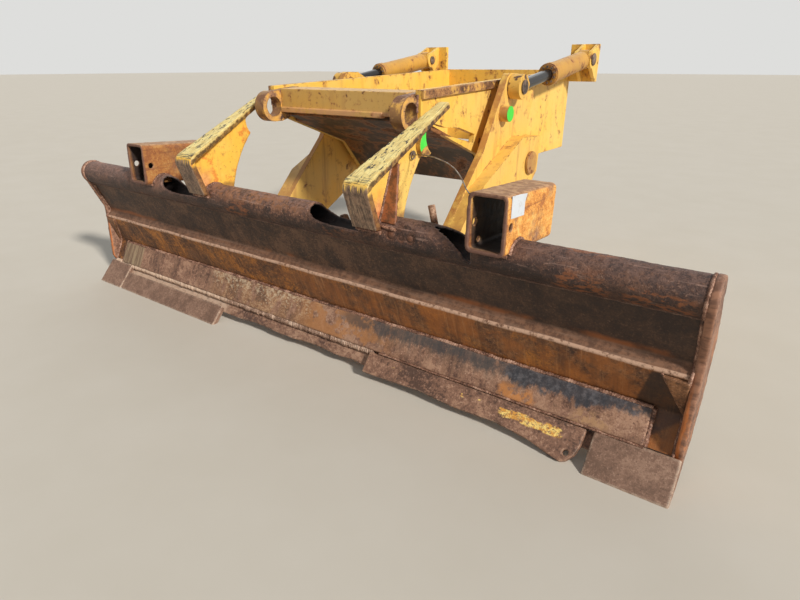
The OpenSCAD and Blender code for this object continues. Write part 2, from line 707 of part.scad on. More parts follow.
// Points that it bends through, as [share of the run across, share back, rise in ring radii]
wire_line = concat(
    [wire_start],
    [for (p = [
        [0.018, 0, 0.1], [0.053, 0.015, 0.5], [0.1, 0.045, 0.95], [0.158, 0.09, 1.35], [0.27, 0.196, 2],
        [0.384, 0.322, 2.6], [0.498, 0.452, 3], [0.61, 0.578, 3.3], [0.69, 0.668, 3.3],
        [0.756, 0.739, 3.1], [0.817, 0.81, 2.65], [0.867, 0.865, 2], [0.908, 0.91, 1.25],
        [0.946, 0.955, 0.5], [0.978, 0.985, 0.05]
    ]) wire_start + [p[0] * wire_run[0], p[1] * wire_run[1], p[0] * wire_run[2] + p[2] * ring_r]],
    [wire_end - [wire_d, 0, 0], wire_end]
);
// Ring of eight points round point i of a line
function wire_ring(line, i) =
    let (
        along = line[min(i + 1, len(line) - 1)] - line[max(i - 1, 0)],
        wide = cross(along, [0, 0, 1]) / norm(cross(along, [0, 0, 1])),
        high = cross(wide, along) / norm(along)
    )
    [for (a = [0 : 45 : 315]) line[i] + wire_d / 2 * (cos(a) * wide + sin(a) * high)];
module tether() on_mount() color("gray") {
    count = len(wire_line);
    points = [for (i = [0 : count - 1]) each wire_ring(wire_line, i)];
    polyhedron(points, concat(
        [[for (k = [0 : 7]) k]],
        [for (i = [0 : count - 2], k = [0 : 7])
            [8 * i + k, 8 * i + 8 + k, 8 * i + 8 + (k + 1) % 8, 8 * i + (k + 1) % 8]],
        [[for (k = [7 : -1 : 0]) 8 * count - 8 + k]]
    ));
}

// Lift cylinders, along the line from the base pin to the rod eye
cyl_line = eye - base;
cyl_rise = atan2(cyl_line[1], -cyl_line[0]);
cyl_reach = norm(cyl_line);
// Draws along the cylinder: +Z runs from the base pin to the rod eye
module on_cylinder(s) on_mount() side(s)
    translate([cyl_x, base[0], base[1]]) rotate([90 - cyl_rise, 0, 0]) children();
module eye_ring(z, d) translate([0, 0, z]) rotate([0, 90, 0]) cylinder(d = d, h = eye_t, center = true);

barrel_foot = 1.27 * cyl_pin_d;
bore_d = 0.8 * barrel_d;
gland_len = 0.5 * barrel_d;
module barrel(s) on_cylinder(s) color("#c9a227") difference() {
    union() {
        eye_ring(0, 2.07 * cyl_pin_d);
        translate([-eye_t / 2, -0.77 * cyl_pin_d, 0]) cube([eye_t, 1.54 * cyl_pin_d, barrel_foot + 2 * cut]);
        translate([0, 0, barrel_foot]) cylinder(d = barrel_d, h = barrel_len - barrel_foot);
        translate([0, 0, barrel_len - 0.46 * barrel_d]) cylinder(d = 1.09 * barrel_d, h = 0.37 * barrel_d);
    }
    eye_ring_bore(0);
    // Room for the piston, and the gland that the rod slides in
    translate([0, 0, 1.25 * barrel_foot]) {
        cylinder(d = bore_d, h = barrel_len - gland_len - 1.25 * barrel_foot);
        cylinder(d = rod_d + 2 * pin_fit, h = barrel_len);
    }
}
module eye_ring_bore(z)
    translate([0, 0, z]) rotate([0, 90, 0])
        cylinder(d = cyl_pin_d + 2 * pin_fit, h = 2 * eye_t, center = true);
module barrel_left() barrel(-1);
module barrel_right() barrel(1);

rod_tail = 0.707 * barrel_len;
module rod(s) on_cylinder(s) color("#2b2b2b") difference() {
    union() {
        eye_ring(cyl_reach, 2.29 * cyl_pin_d);
        translate([0, 0, rod_tail]) cylinder(d = rod_d, h = cyl_reach - rod_tail - 0.6 * cyl_pin_d);
        translate([0, 0, rod_tail]) cylinder(d = bore_d - 2 * pin_fit, h = 0.43 * barrel_d);
    }
    eye_ring_bore(cyl_reach);
}
module rod_left() rod(-1);
module rod_right() rod(1);

nose_crossmember();
frame_ear_left();
frame_ear_right();
side_plate_left();
side_plate_right();
top_rail_left();
top_rail_right();
belly_plate();
rear_bulkhead();
pivot_pin_left();
pivot_pin_right();
cylinder_bracket_left();
cylinder_bracket_right();
base_pin_left();
base_pin_right();
moldboard();
top_roll();
wear_plate();
base_edge();
centre_edge();
end_bit_left_outer();
end_bit_left_inner();
end_bit_right();
end_plate_left();
end_plate_right();
corner_gussets();
back_beam();
back_ribs();
socket_left();
socket_right();
hook_arm_left();
hook_arm_right();
hook_pad_left();
hook_pad_right();
push_arm_left();
push_arm_right();
arm_tie();
eye_pin_left();
eye_pin_right();
stop_rod();
lock_ring();
tether();
barrel_left();
barrel_right();
rod_left();
rod_right();
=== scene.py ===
import math

import bmesh
import bpy
import numpy as np
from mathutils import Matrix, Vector, noise


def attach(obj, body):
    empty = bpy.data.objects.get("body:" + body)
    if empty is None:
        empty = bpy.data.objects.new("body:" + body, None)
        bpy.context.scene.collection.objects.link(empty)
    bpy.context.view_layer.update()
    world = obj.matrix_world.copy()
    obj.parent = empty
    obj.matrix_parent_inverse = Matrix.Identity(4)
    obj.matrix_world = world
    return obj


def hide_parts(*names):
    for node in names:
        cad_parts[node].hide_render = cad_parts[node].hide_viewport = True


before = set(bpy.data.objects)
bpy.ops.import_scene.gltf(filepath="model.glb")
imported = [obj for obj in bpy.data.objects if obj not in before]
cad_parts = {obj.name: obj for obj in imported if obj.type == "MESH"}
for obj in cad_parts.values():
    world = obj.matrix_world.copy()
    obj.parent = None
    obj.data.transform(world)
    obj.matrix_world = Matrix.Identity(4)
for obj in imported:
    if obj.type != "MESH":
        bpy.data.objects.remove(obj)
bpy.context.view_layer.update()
scene = bpy.context.scene
scene.view_settings.view_transform = "Standard"

# Camera
# Held low in front of the blade's right half, looking down along it to the left.


def put(name, data):
    """Object with that data, in the scene"""
    made = bpy.data.objects.new(name, data)
    scene.collection.objects.link(made)
    return made


lens = bpy.data.cameras.new("camera")
lens.sensor_fit = "HORIZONTAL"
lens.sensor_width = 36.0
lens.lens = 24.79
lens.clip_end = 400.0
camera = put("camera", lens)
camera.location = (1.587, -3.272, 0.219)
camera.rotation_euler = (math.radians(66.96), 0.0, math.radians(35.87))
scene.camera = camera

# Tether wire
# A thin springy steel wire, twisted round the ring on the right hook arm and pushed
# into a hole in the right socket's wall, so it bows up between the two.
EDGE_Y, EDGE_Z = 1900, 900


def on_blade(x, y, z):
    """Metres in the shared frame, from mm across, behind and above the cutting edge"""
    return Vector((x / 1000, (y - EDGE_Y) / 1000, (z - EDGE_Z) / 1000))


RING_R = 12.88
WIRE_D = 4.032
wire_start = on_blade(489.78, 213.24, 835.95)
wire_end = on_blade(831.2, 14.34, 784.11)
WIRE_BENDS = [
    (0.018, 0, 0.1), (0.053, 0.015, 0.5), (0.1, 0.045, 0.95), (0.158, 0.09, 1.35), (0.27, 0.196, 2),
    (0.384, 0.322, 2.6), (0.498, 0.452, 3), (0.61, 0.578, 3.3), (0.69, 0.668, 3.3),
    (0.756, 0.739, 3.1), (0.817, 0.81, 2.65), (0.867, 0.865, 2), (0.908, 0.91, 1.25),
    (0.946, 0.955, 0.5), (0.978, 0.985, 0.05),
]
wire_run = wire_end - wire_start
wire_line = [wire_start]
for across, back, rise in WIRE_BENDS:
    wire_line.append(wire_start + Vector((
        across * wire_run.x, back * wire_run.y, across * wire_run.z + rise * RING_R / 1000)))
wire_line += [wire_end - Vector((WIRE_D / 1000, 0, 0)), wire_end]
smooth_line = []
for i in range(len(wire_line) - 1):
    p0, p1 = wire_line[max(i - 1, 0)], wire_line[i]
    p2, p3 = wire_line[i + 1], wire_line[min(i + 2, len(wire_line) - 1)]
    for k in range(4):
        t = k / 4
        smooth_line.append(0.5 * (2 * p1 + (p2 - p0) * t + (2 * p0 - 5 * p1 + 4 * p2 - p3) * t * t
                                  + (3 * p1 - p0 - 3 * p2 + p3) * t ** 3))
smooth_line.append(wire_end)
wire_length = sum((b - a).length for a, b in zip(smooth_line, smooth_line[1:]))
curve = bpy.data.curves.new("tether_wire", "CURVE")
curve.dimensions = "3D"
curve.bevel_depth = WIRE_D / 2000
curve.bevel_resolution = 3
curve.use_fill_caps = True
spline = curve.splines.new("POLY")
spline.points.add(len(smooth_line) - 1)
for point, place in zip(spline.points, smooth_line):
    point.co = (*place, 1)
wire = put("tether_wire", curve)


def srgb(r, g, b):
    """Linear colour of an 8-bit display colour"""
    parts = [v / 255 / 12.92 if v <= 10 else ((v / 255 + 0.055) / 1.055) ** 2.4 for v in (r, g, b)]
    return (*parts, 1.0)


def step(tree, kind, sockets=None, **settings):
    """Outputs of one added node; its inputs are links, values or 8-bit display colours"""
    made = tree.nodes.new(kind)
    for name, value in settings.items():
        setattr(made, name, value)
    for name, value in (sockets or {}).items():
        socket = made.inputs[name]
        if isinstance(value, bpy.types.NodeSocket):
            tree.links.new(value, socket)
        elif socket.type == "RGBA" and len(value) == 3:
            socket.default_value = srgb(*value)
        else:
            socket.default_value = value
    return made.outputs


def home(*values):
    """Node tree of the first socket among the values"""
    return next(value.id_data for value in values if isinstance(value, bpy.types.NodeSocket))


def calc(how, a, b=0.0, c=0.0):
    return step(home(a, b, c), "ShaderNodeMath", {0: a, 1: b, 2: c}, operation=how)[0]


def mad(value, share, plus):
    """value * share + plus"""
    return calc("MULTIPLY_ADD", value, share, plus)


def shares(*masks):
    """Product of masks"""
    product = masks[0]
    for mask in masks[1:]:
        product = calc("MULTIPLY", product, mask)
    return product


def layer(below, over, *masks):
    """Over laid on below as far as the product of the masks"""
    share = shares(*masks)
    tree = home(share, below, over)
    return step(tree, "ShaderNodeMix", {0: share, 6: below, 7: over}, data_type="RGBA")[2]


def ease(value, low, high):
    """0 below low, 1 above high, smooth between; low may be the larger one"""
    return step(value.id_data, "ShaderNodeMapRange", {"Value": value, "From Min": low, "From Max": high},
                interpolation_type="SMOOTHSTEP")[0]


def grain(place, scale, detail=7, rough=0.7, warp=0):
    return step(place.id_data, "ShaderNodeTexNoise", {
        "Vector": place, "Scale": scale, "Detail": detail, "Roughness": rough, "Distortion": warp})[0]


def blots(place, scale, low, high, detail=7, rough=0.7):
    """Noise eased between two levels"""
    return ease(grain(place, scale, detail, rough), low, high)


def place_of(tree, stretch=(1, 1, 1), turn=(0, 0, 0)):
    """Object coordinates, stretched and turned"""
    here = step(tree, "ShaderNodeTexCoord")["Object"]
    if stretch == (1, 1, 1) and turn == (0, 0, 0):
        return here
    return step(tree, "ShaderNodeMapping", {"Vector": here, "Scale": stretch, "Rotation": turn})[0]


def coated(name, build, bump=0.4, depth=0.002, metallic=0):
    """Material with one Principled shader, fed by what build returns: colour, roughness, height"""
    made = bpy.data.materials.new(name)
    made.use_nodes = True
    tree = made.node_tree
    tree.nodes.clear()
    tone, rough, height = build(tree)
    bumps = step(tree, "ShaderNodeBump", {"Strength": bump, "Distance": depth, "Height": height})
    shader = step(tree, "ShaderNodeBsdfPrincipled", {
        "Metallic": metallic, "Base Color": tone, "Roughness": rough, "Normal": bumps[0]})
    step(tree, "ShaderNodeOutputMaterial", {0: shader[0]})
    return made


def wire_finish(tree):
    spots = grain(place_of(tree), 90, 4, 0.6)
    tone = layer((150, 140, 128), (104, 78, 58), ease(spots, 0.45, 0.62))
    return tone, ease(spots, 0, 1.6), spots


curve.materials.append(coated("dull wire", wire_finish, bump=0.2, depth=0.0005, metallic=0.6))
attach(wire, "blade")
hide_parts("tether")

# Light and floor
# A key lamp high on the right and a little in front, a weak broad lamp behind on the left,
# an even pale sky, and a plain warm grey floor at the height of the end bits' lower edges.
for lamp_name, energy, spread, colour, towards in (
        ("key", 3.75, 6, (1.0, 0.965, 0.91), (-0.819, 0.258, -0.512)),
        ("back fill", 0.5, 60, (0.92, 0.96, 1.0), (0.5, -0.7, -0.5))):
    lamp = bpy.data.lights.new(lamp_name, "SUN")
    lamp.energy = energy
    lamp.angle = math.radians(spread)
    lamp.color = colour
    put(lamp_name, lamp).rotation_euler = Vector(towards).to_track_quat("-Z", "Y").to_euler()
sky = bpy.data.worlds.new("sky")
scene.world = sky
sky.use_nodes = True
sky_tree = sky.node_tree
sky_tree.nodes.clear()
paths = step(sky_tree, "ShaderNodeLightPath")
sky_light = step(sky_tree, "ShaderNodeBackground", {"Color": (0.9, 0.95, 1.0, 1), "Strength": 0.34})[0]
sky_seen = step(sky_tree, "ShaderNodeBackground", {"Color": (222, 222, 220), "Strength": 1.0})[0]
seen = calc("MAXIMUM", paths["Is Camera Ray"], paths["Is Glossy Ray"])
sky_mix = step(sky_tree, "ShaderNodeMixShader", {0: seen, 1: sky_light, 2: sky_seen})[0]
step(sky_tree, "ShaderNodeOutputWorld", {0: sky_mix})
FLOOR_HALF, FLOOR_Z = 90, -0.9
ground = bpy.data.meshes.new("floor")
corners = [(x * FLOOR_HALF, y * FLOOR_HALF, FLOOR_Z) for x, y in ((-1, -1), (1, -1), (1, 1), (-1, 1))]
ground.from_pydata(corners, [], [(0, 1, 2, 3)])
floor = put("floor", ground)


def floor_finish(tree):
    cloud = grain(place_of(tree), 3, 3, 0.6)
    return layer((198, 190, 176), (206, 199, 187), cloud), ease(cloud, -8, 1), cloud


ground.materials.append(coated("plain floor", floor_finish, bump=0.02))

# Moldboard
# One thick plate, folded along its length into an upper plate, a narrow shelf, a ridge and
# a valley. Bare steel: scraped pale on the shelf and the ridge, golden rust under them.


def shared(name, takes, gives, kind="ShaderNodeTree"):
    """Node group with named inputs {name: (kind, value)} and outputs {name: kind}, and what it takes"""
    tree = bpy.data.node_groups.new(name, kind)
    for label, (socket_type, value) in takes.items():
        socket = tree.interface.new_socket(label, in_out="INPUT", socket_type=socket_type)
        if value is not None:
            socket.default_value = value
    for label, socket_type in gives.items():
        tree.interface.new_socket(label, in_out="OUTPUT", socket_type=socket_type)
    return tree, step(tree, "NodeGroupInput")


def own(tree, name):
    """The mesh's own attribute of that name"""
    return step(tree, "ShaderNodeAttribute", attribute_name=name)["Fac"]


FLOAT, COLOUR = "NodeSocketFloat", "NodeSocketColor"

# Pitted old rust: three tones in blotches, pale specks and dark pits
old_rust, takes = shared(
    "old rust",
    {"Scale": (FLOAT, 8.0), "Dark": (COLOUR, srgb(60, 38, 28)), "Mid": (COLOUR, srgb(110, 72, 48)),
     "Light": (COLOUR, srgb(160, 110, 80)), "Specks": (FLOAT, 0.5)},
    {"Color": COLOUR, "Roughness": FLOAT, "Height": FLOAT})
here = place_of(old_rust)
blotch = grain(here, takes["Scale"], 9, 0.62, 0.4)
mottle = grain(here, shares(takes["Scale"], 7))
grit = grain(here, shares(takes["Scale"], 19), 5)
fine = grain(here, shares(takes["Scale"], 55), 3, 0.65)
mixed = mad(grit, 0.23, mad(mottle, 0.35, shares(blotch, 0.42)))
tone = layer(takes["Dark"], takes["Mid"], ease(mixed, 0.435, 0.5))
tone = layer(tone, takes["Light"], ease(mixed, 0.5, 0.57))
near_black = layer(takes["Dark"], (0.004, 0.003, 0.002, 1), 0.55)
tone = layer(tone, near_black, calc("MAXIMUM", ease(grit, 0.42, 0.32), ease(fine, 0.42, 0.3)), 0.75)
pale = layer(takes["Light"], (222, 190, 170), 0.45)
tone = layer(tone, pale, ease(grit, 0.56, 0.66), ease(mottle, 0.42, 0.58), takes["Specks"])
skin = mad(fine, 0.15, mad(grit, 0.35, shares(mottle, 0.5)))
step(old_rust, "NodeGroupOutput", {"Color": tone, "Roughness": mad(mottle, 0.35, 0.5), "Height": skin})

# Wear where an edge sticks out, from the corner's own turn and from the attribute "edge" of
# weathered solids, broken up by noise, and the inner corners where dirt and weld lie, darkened for dirt and
# as painted shade
worn_edge, takes = shared(
    "worn edge", {"Breadth": (FLOAT, 0.008), "Break": (FLOAT, 30.0), "Corner": (FLOAT, 1.0)},
    {"Mask": FLOAT, "Dirt And Shade": FLOAT})
rounded = step(worn_edge, "ShaderNodeBevel", {"Radius": takes["Breadth"]}, samples=4)[0]
flat = step(worn_edge, "ShaderNodeNewGeometry")["Normal"]
turn = step(worn_edge, "ShaderNodeVectorMath", {0: rounded, 1: flat}, operation="DOT_PRODUCT")["Value"]
edge = calc("MAXIMUM", shares(ease(turn, 0.995, 0.9), takes["Corner"]), own(worn_edge, "edge"))
broken = blots(place_of(worn_edge), takes["Break"], 0.36, 0.56, 5)
step(worn_edge, "NodeGroupOutput", {
    "Mask": shares(edge, broken), "Dirt And Shade": shares(own(worn_edge, "crease"), broken)})

# Streaks: noise drawn out by the stretch given
streaks, takes = shared(
    "streaks", {"Stretch": ("NodeSocketVector", (30, 30, 2)), "From": (FLOAT, 0.55), "To": (FLOAT, 0.7)},
    {"Mask": FLOAT})
drawn = step(streaks, "ShaderNodeVectorMath", {0: place_of(streaks), 1: takes["Stretch"]},
             operation="MULTIPLY")[0]
step(streaks, "NodeGroupOutput", {"Mask": ease(grain(drawn, 1, 5, 0.6, 0.2), takes["From"], takes["To"])})


def group(tree, made, sockets):
    return step(tree, "ShaderNodeGroup", sockets, node_tree=made)


def rust_of(tree, scale, dark, mid, light, specks):
    """Colour, roughness and height of old rust"""
    return group(tree, old_rust, {
        "Scale": scale, "Dark": dark, "Mid": mid, "Light": light, "Specks": specks})


def streaked(tree, stretch, low, high):
    """Mask of streaks"""
    return group(tree, streaks, {"Stretch": stretch, "From": low, "To": high})["Mask"]


def no_layers(tree):
    """What a finish lays over the first coat, lowest first, as (colour, *masks); here nothing"""
    return ()


def rusty(name, dark, mid, light, scale=8, specks=0.5, bump=0.5, depth=0.003, edge=None, breadth=0.007,
          corner=1, more=no_layers):
    """Rusted steel in three tones, the layers of more(tree) over it, then inner corners darkened for dirt
    and as painted shade, and worn edges
    """
    def build(tree):
        base = rust_of(tree, scale, dark, mid, light, specks)
        tone = base["Color"]
        for over, *masks in more(tree):
            tone = layer(tone, over, *masks)
        if edge:
            wear = group(tree, worn_edge, {"Breadth": breadth, "Corner": corner})
            # Inner corners darkened: dirt, and painted shade where less light reaches
            tone = layer(tone, dark, wear["Dirt And Shade"], 0.6)
            tone = layer(tone, edge, wear["Mask"], 0.85)
        return tone, base["Roughness"], base["Height"]
    return coated(name, build, bump, depth)


def add_piece(name, mesh, body, stands_for, material, slot):
    """Names a finished mesh, dresses it, ties it to its body and hides the solids it stands for"""
    made = put(name, mesh)
    mesh.name = name
    mesh.materials.clear()
    mesh.materials.append(material)
    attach(made, body)
    if stands_for:
        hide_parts(*stands_for)


def back_of(line, t):
    """The line moved back by t, mitred at its corners"""
    def normal(a, b):
        d = math.dist(a, b)
        return ((a[1] - b[1]) / d, (b[0] - a[0]) / d)
    moved = []
    for i, p in enumerate(line):
        n0 = normal(line[max(i - 1, 0)], line[max(i, 1)])
        n1 = normal(line[min(i, len(line) - 2)], line[min(i + 1, len(line) - 1)])
        k = t / (1 + n0[0] * n1[0] + n0[1] * n1[1])
        moved.append((p[0] + k * (n0[0] + n1[0]), p[1] + k * (n0[1] + n1[1])))
    return moved


def rounded_line(line, radii, flat=0.011):
    """mm line in metres, its corners rounded and its flats cut into short steps, each point with the
    number of the corner reached"""
    pts = [Vector((y / 1000, z / 1000)) for y, z in line]
    out = [(pts[0], 0.0)]
    for i in range(1, len(pts)):
        a, start = out[-1]
        b = pts[i]
        r = radii[i]
        goal = i
        b0 = b
        if r:
            d0, d1 = (b - pts[i - 1]).normalized(), (pts[i + 1] - b).normalized()
            reach = r * math.tan(d0.angle(d1) / 2) + 0.002
            b0, b1 = b - d0 * reach, b + d1 * reach
            goal = i - 0.02
        n = max(1, round((b0 - a).length / flat))
        for k in range(1, n + 1):
            out.append((a.lerp(b0, k / n), start + (goal - start) * k / n))
        if r:
            for k in range(1, 7):
                t = k / 6
                out.append((b0.lerp(b, t).lerp(b.lerp(b1, t), t), goal + 0.04 * t))
    return out


# Lip under the roll, shelf, ridge, valley and foot
PROFILE = [(61.0, 551.97), (128, 388), (100, 355), (156, 207), (104.47, 100)]
BOARD_T = 20
INNER_HALF = 1.475
front = rounded_line(PROFILE, [0, 0.008, 0.007, 0.012, 0])
back = rounded_line(back_of(PROFILE, BOARD_T), [0, 0.02, 0.02, 0.02, 0])
outline = front + [(p, -1.0 - s) for p, s in reversed(back)]
stations = np.linspace(-INNER_HALF, INNER_HALF, 296)
verts, fold = [], []
for x in stations:
    for p, s in outline:
        along = s if s >= 0 else -1.0 - s
        near = max(0.0, min(1.0, (3.0 - along) / 0.6)) * min(1.0, along / 0.25)
        near *= min(1.0, (INNER_HALF - abs(x)) / 0.05)
        push = 0.0025 * noise.fractal(Vector((x * 2.1, along * 0.9, 3.3)), 1.0, 2.0, 3)
        drop = 0.002 * noise.fractal(Vector((x * 5.0, along * 0.5, 9.1)), 1.0, 2.0, 3)
        verts.append((x, p[0] - EDGE_Y / 1000 + near * push, p[1] - EDGE_Z / 1000 + near * drop))
        fold.append(s)
n = len(outline)
faces = []
for i in range(len(stations) - 1):
    for k in range(n):
        a, b = i * n + k, i * n + (k + 1) % n
        faces.append((a, b, b + n, a + n))
faces.append(tuple(range(n - 1, -1, -1)))
faces.append(tuple(range((len(stations) - 1) * n, len(stations) * n)))
board = bpy.data.meshes.new("moldboard")
board.from_pydata(verts, [], faces)
board.attributes.new("fold", "FLOAT", "POINT").data.foreach_set("value", fold)


def outward(mesh, sharp=35):
    """Turns the faces outwards and shades them smooth up to an angle"""
    form = bmesh.new()
    form.from_mesh(mesh)
    bmesh.ops.recalc_face_normals(form, faces=form.faces)
    form.to_mesh(mesh)
    form.free()
    mesh.shade_smooth()
    mesh.set_sharp_from_angle(angle=math.radians(sharp))
    return mesh


def axes(vector):
    return step(vector.id_data, "ShaderNodeSeparateXYZ", {0: vector})[:]


def span(value, low, high, soft):
    """1 between low and high, falling to 0 over soft at both ends"""
    half = soft / 2
    return shares(ease(value, low - half, low + half), ease(value, high + half, high - half))


# Where the painted shadow of the right gusset begins across the valley face
GUSSET_SHADOW_X = 1.441


def board_finish(tree):
    """Upper plate dark and darker to the right as painted shade of the roll, an orange band painted lit
    under the shade's wavy edge, scraped shelf, pale ridge line, golden rust under it, painted shadows of
    the right gusset in the valley's corner
    """
    here = place_of(tree)
    across = axes(here)[0]
    fold = own(tree, "fold")
    # Darker towards the right: painted shade, the roll's shadow on the upper plate
    yield (44, 30, 24), ease(across, 0, 1.3), 0.55
    gold = rust_of(tree, 11, (74, 48, 31), (124, 80, 45), (188, 120, 48), 0.4)["Color"]
    plain = rust_of(tree, 9, (72, 48, 34), (112, 76, 50), (150, 104, 66), 0.4)["Color"]
    low = layer(plain, gold, ease(mad(across, -0.06, grain(here, 3.2, 8, 0.65)), 0.4, 0.5))
    low = layer(low, (178, 106, 44), ease(across, -0.6, 0.5), blots(here, 8, 0.4, 0.58, 8), 0.62)
    low = layer(low, (92, 58, 36), streaked(tree, (34, 3, 3), 0.46, 0.64), 0.42)
    low = layer(low, (204, 152, 100), streaked(tree, (130, 6, 6), 0.55, 0.7), 0.3)
    yield low, ease(fold, 1.97, 2.03)
    # Orange band with a wavy top at the foot of the upper plate: painted sunlight below the roll's shadow
    # edge
    wavy = calc("ADD", fold, shares(calc("SUBTRACT", grain(here, 5, 6, 0.65), 0.5), 0.22))
    above = shares(ease(wavy, 0.86, 0.98), ease(fold, 1.04, 0.99), blots(here, 2.6, 0.46, 0.58, 5, 0.6))
    yield (166, 98, 52), above, 0.7
    shelf = layer((130, 92, 68), (94, 64, 46), blots(here, 42, 0.42, 0.58, 8, 0.75))
    shelf = layer(shelf, (146, 116, 96), streaked(tree, (5, 90, 90), 0.44, 0.68), 0.5)
    yield shelf, span(fold, 1, 2, 0.05)
    ridge = shares(ease(fold, 1.84, 1.93), ease(fold, 2.035, 2.005), blots(here, 60, 0.36, 0.52, 6, 0.75))
    yield (202, 164, 138), ridge, 0.9
    # Painted shadow of the right gusset, cast to its left on the valley face
    gusset_shadow = ease(mad(fold, 0.035, across), GUSSET_SHADOW_X, GUSSET_SHADOW_X + 0.01)
    yield (42, 29, 22), gusset_shadow, span(fold, 2.03, 3, 0.05), 0.8
    # Painted shadow of the gusset on the bare strip beyond the wear plate's right end
    lower_gusset_shadow = ease(mad(across, 8.75, fold), 16.04, 15.9)
    yield (60, 42, 38), lower_gusset_shadow, ease(across, 1.38, 1.39), span(fold, 3, 4, 0.05), 0.72


# The dark base tones show on the upper plate and are partly painted shade under the roll
board_steel = rusty("moldboard steel", (52, 36, 28), (80, 57, 42), (110, 80, 60), scale=9, specks=0.3,
                    more=board_finish)
add_piece("moldboard_plate", outward(board), "blade", ["moldboard"], board_steel, "rusted_steel")

# Top roll
# Thick pipe along the top of the moldboard. It is scooped out beside the fittings that
# stand on it, and dented and deeply pitted where loads have scraped over it.


def mesh_of(form, name):
    """Mesh of a form, which is freed"""
    mesh = bpy.data.meshes.new(name)
    form.to_mesh(mesh)
    form.free()
    return mesh


def solid_of(node):
    """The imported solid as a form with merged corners"""
    form = bmesh.new()
    form.from_mesh(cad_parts[node].data)
    bmesh.ops.remove_doubles(form, verts=form.verts, dist=0.00002)
    return form


def applied(holder):
    """Plain mesh of an object with its modifiers; the object is removed"""
    made = bpy.data.meshes.new_from_object(holder.evaluated_get(bpy.context.evaluated_depsgraph_get()))
    bpy.data.objects.remove(holder)
    return made


def prism(corners, along, low, high):
    """Closed prism on corners in mm: (across, up) pushed along y, or (behind, up) pushed along x"""
    form = bmesh.new()
    ends = []
    for reach in (low, high):
        ends.append([form.verts.new(on_blade(reach, a, b) if along == "x" else on_blade(a, reach, b))
                     for a, b in corners])
    for k in range(len(corners)):
        j = (k + 1) % len(corners)
        form.faces.new((ends[0][k], ends[0][j], ends[1][j], ends[1][k]))
    form.faces.new(ends[0])
    form.faces.new(ends[1])
    bmesh.ops.recalc_face_normals(form, faces=form.faces)
    return mesh_of(form, "prism")


def weathered(node, voxel, pits, dents=(), soften=1, cuts=()):
    """Copy of a solid less cuts, in small even faces, pitted by noise; dents are (place, radius, depth)"""
    mesh = mesh_of(solid_of(node), "weathered")
    holder = put("weathered", mesh)
    knives = []
    for cut in cuts:
        knives.append(put("knife", cut))
        boolean = holder.modifiers.new("cut", "BOOLEAN")
        boolean.operation = "DIFFERENCE"
        boolean.solver = "EXACT"
        boolean.object = knives[-1]
    cubes = holder.modifiers.new("voxels", "REMESH")
    cubes.mode = "VOXEL"
    cubes.voxel_size = voxel
    soft = holder.modifiers.new("soft", "SMOOTH")
    soft.factor = 0.5
    soft.iterations = soften
    done = applied(holder)
    for knife in knives:
        bpy.data.objects.remove(knife)
    for used in [mesh] + list(cuts):
        bpy.data.meshes.remove(used)
    count = len(done.vertices)
    co, no = np.zeros(count * 3), np.zeros(count * 3)
    done.vertices.foreach_get("co", co)
    done.vertices.foreach_get("normal", no)
    co, no = co.reshape(-1, 3), no.reshape(-1, 3)
    ties = np.zeros(len(done.edges) * 2, dtype=np.int64)
    done.edges.foreach_get("vertices", ties)
    ties = np.concatenate([ties.reshape(-1, 2), ties.reshape(-1, 2)[:, ::-1]])
    around = np.stack([np.bincount(ties[:, 0], co[ties[:, 1], k], count) for k in range(3)], 1)
    around /= np.maximum(np.bincount(ties[:, 0], minlength=count), 1)[:, None]
    bulge = ((co - around) * no).sum(1) / voxel
    for label, value in (("edge", bulge), ("crease", -bulge)):
        t = np.clip((value - 0.1) / 0.22, 0, 1)
        done.attributes.new(label, "FLOAT", "POINT").data.foreach_set("value", t * t * (3 - 2 * t))
    push = np.array([noise.fractal(Vector(p) * 45, 1.0, 2.0, 3) + 0.6 * noise.noise(Vector(p) * 11)
                     for p in co.tolist()])
    co = co + no * (pits * push)[:, None]
    hit = np.zeros(count)
    for place, radius, depth in dents:
        away = co - np.array(place)
        near = np.exp(-(away ** 2).sum(1) / radius ** 2)
        co = co - no * (near * depth)[:, None]
        hit = np.maximum(hit, near * min(1.0, depth / 0.01))
    done.attributes.new("dent", "FLOAT", "POINT").data.foreach_set("value", hit)
    done.vertices.foreach_set("co", co.reshape(-1))
    done.shade_smooth()
    return done


def worn_piece(name, node, voxel, pits, material, slot="rusted_steel", **how):
    """The solid weathered, as a piece of the blade"""
    add_piece(name, weathered(node, voxel, pits, **how), "blade", [node], material, slot)


def normal_of(tree):
    """The surface's direction as three parts"""
    return axes(step(tree, "ShaderNodeTexCoord")["Normal"])


def off_axis(y, z, at):
    """Metres from an axis across the machine"""
    back = calc("POWER", calc("SUBTRACT", y, at[0]), 2)
    return calc("SQRT", calc("ADD", back, calc("POWER", calc("SUBTRACT", z, at[1]), 2)))


ROLL_Y, ROLL_Z, ROLL_R = 83, 597, 57
roll_axis = on_blade(0, ROLL_Y, ROLL_Z)
SCOOPS = (
    [(-800, 660), (-790, 640), (-765, 615), (-736, 603), (-700, 597), (-505, 597), (-505, 660)],
    [(140, 660), (155, 628), (178, 612), (215, 601), (260, 597), (400, 597), (400, 660)],
    [(640, 660), (680, 646), (706, 640), (752, 629), (781, 616), (797, 600), (806, 578), (822, 562),
     (831, 560), (831, 660)],
)
ROLL_DENTS = (
    (532, 28, 606, 20, 12), (575, 27, 600, 15, 10), (612, 28, 604, 18, 12), (560, 40, 634, 30, 4),
    (-60, 60, 650, 50, 4), (1180, 30, 610, 35, 4), (1260, 40, 575, 30, 3), (-640, 40, 560, 50, 3),
    (80, 45, 640, 30, 4), (-1180, 60, 650, 40, 3),
)


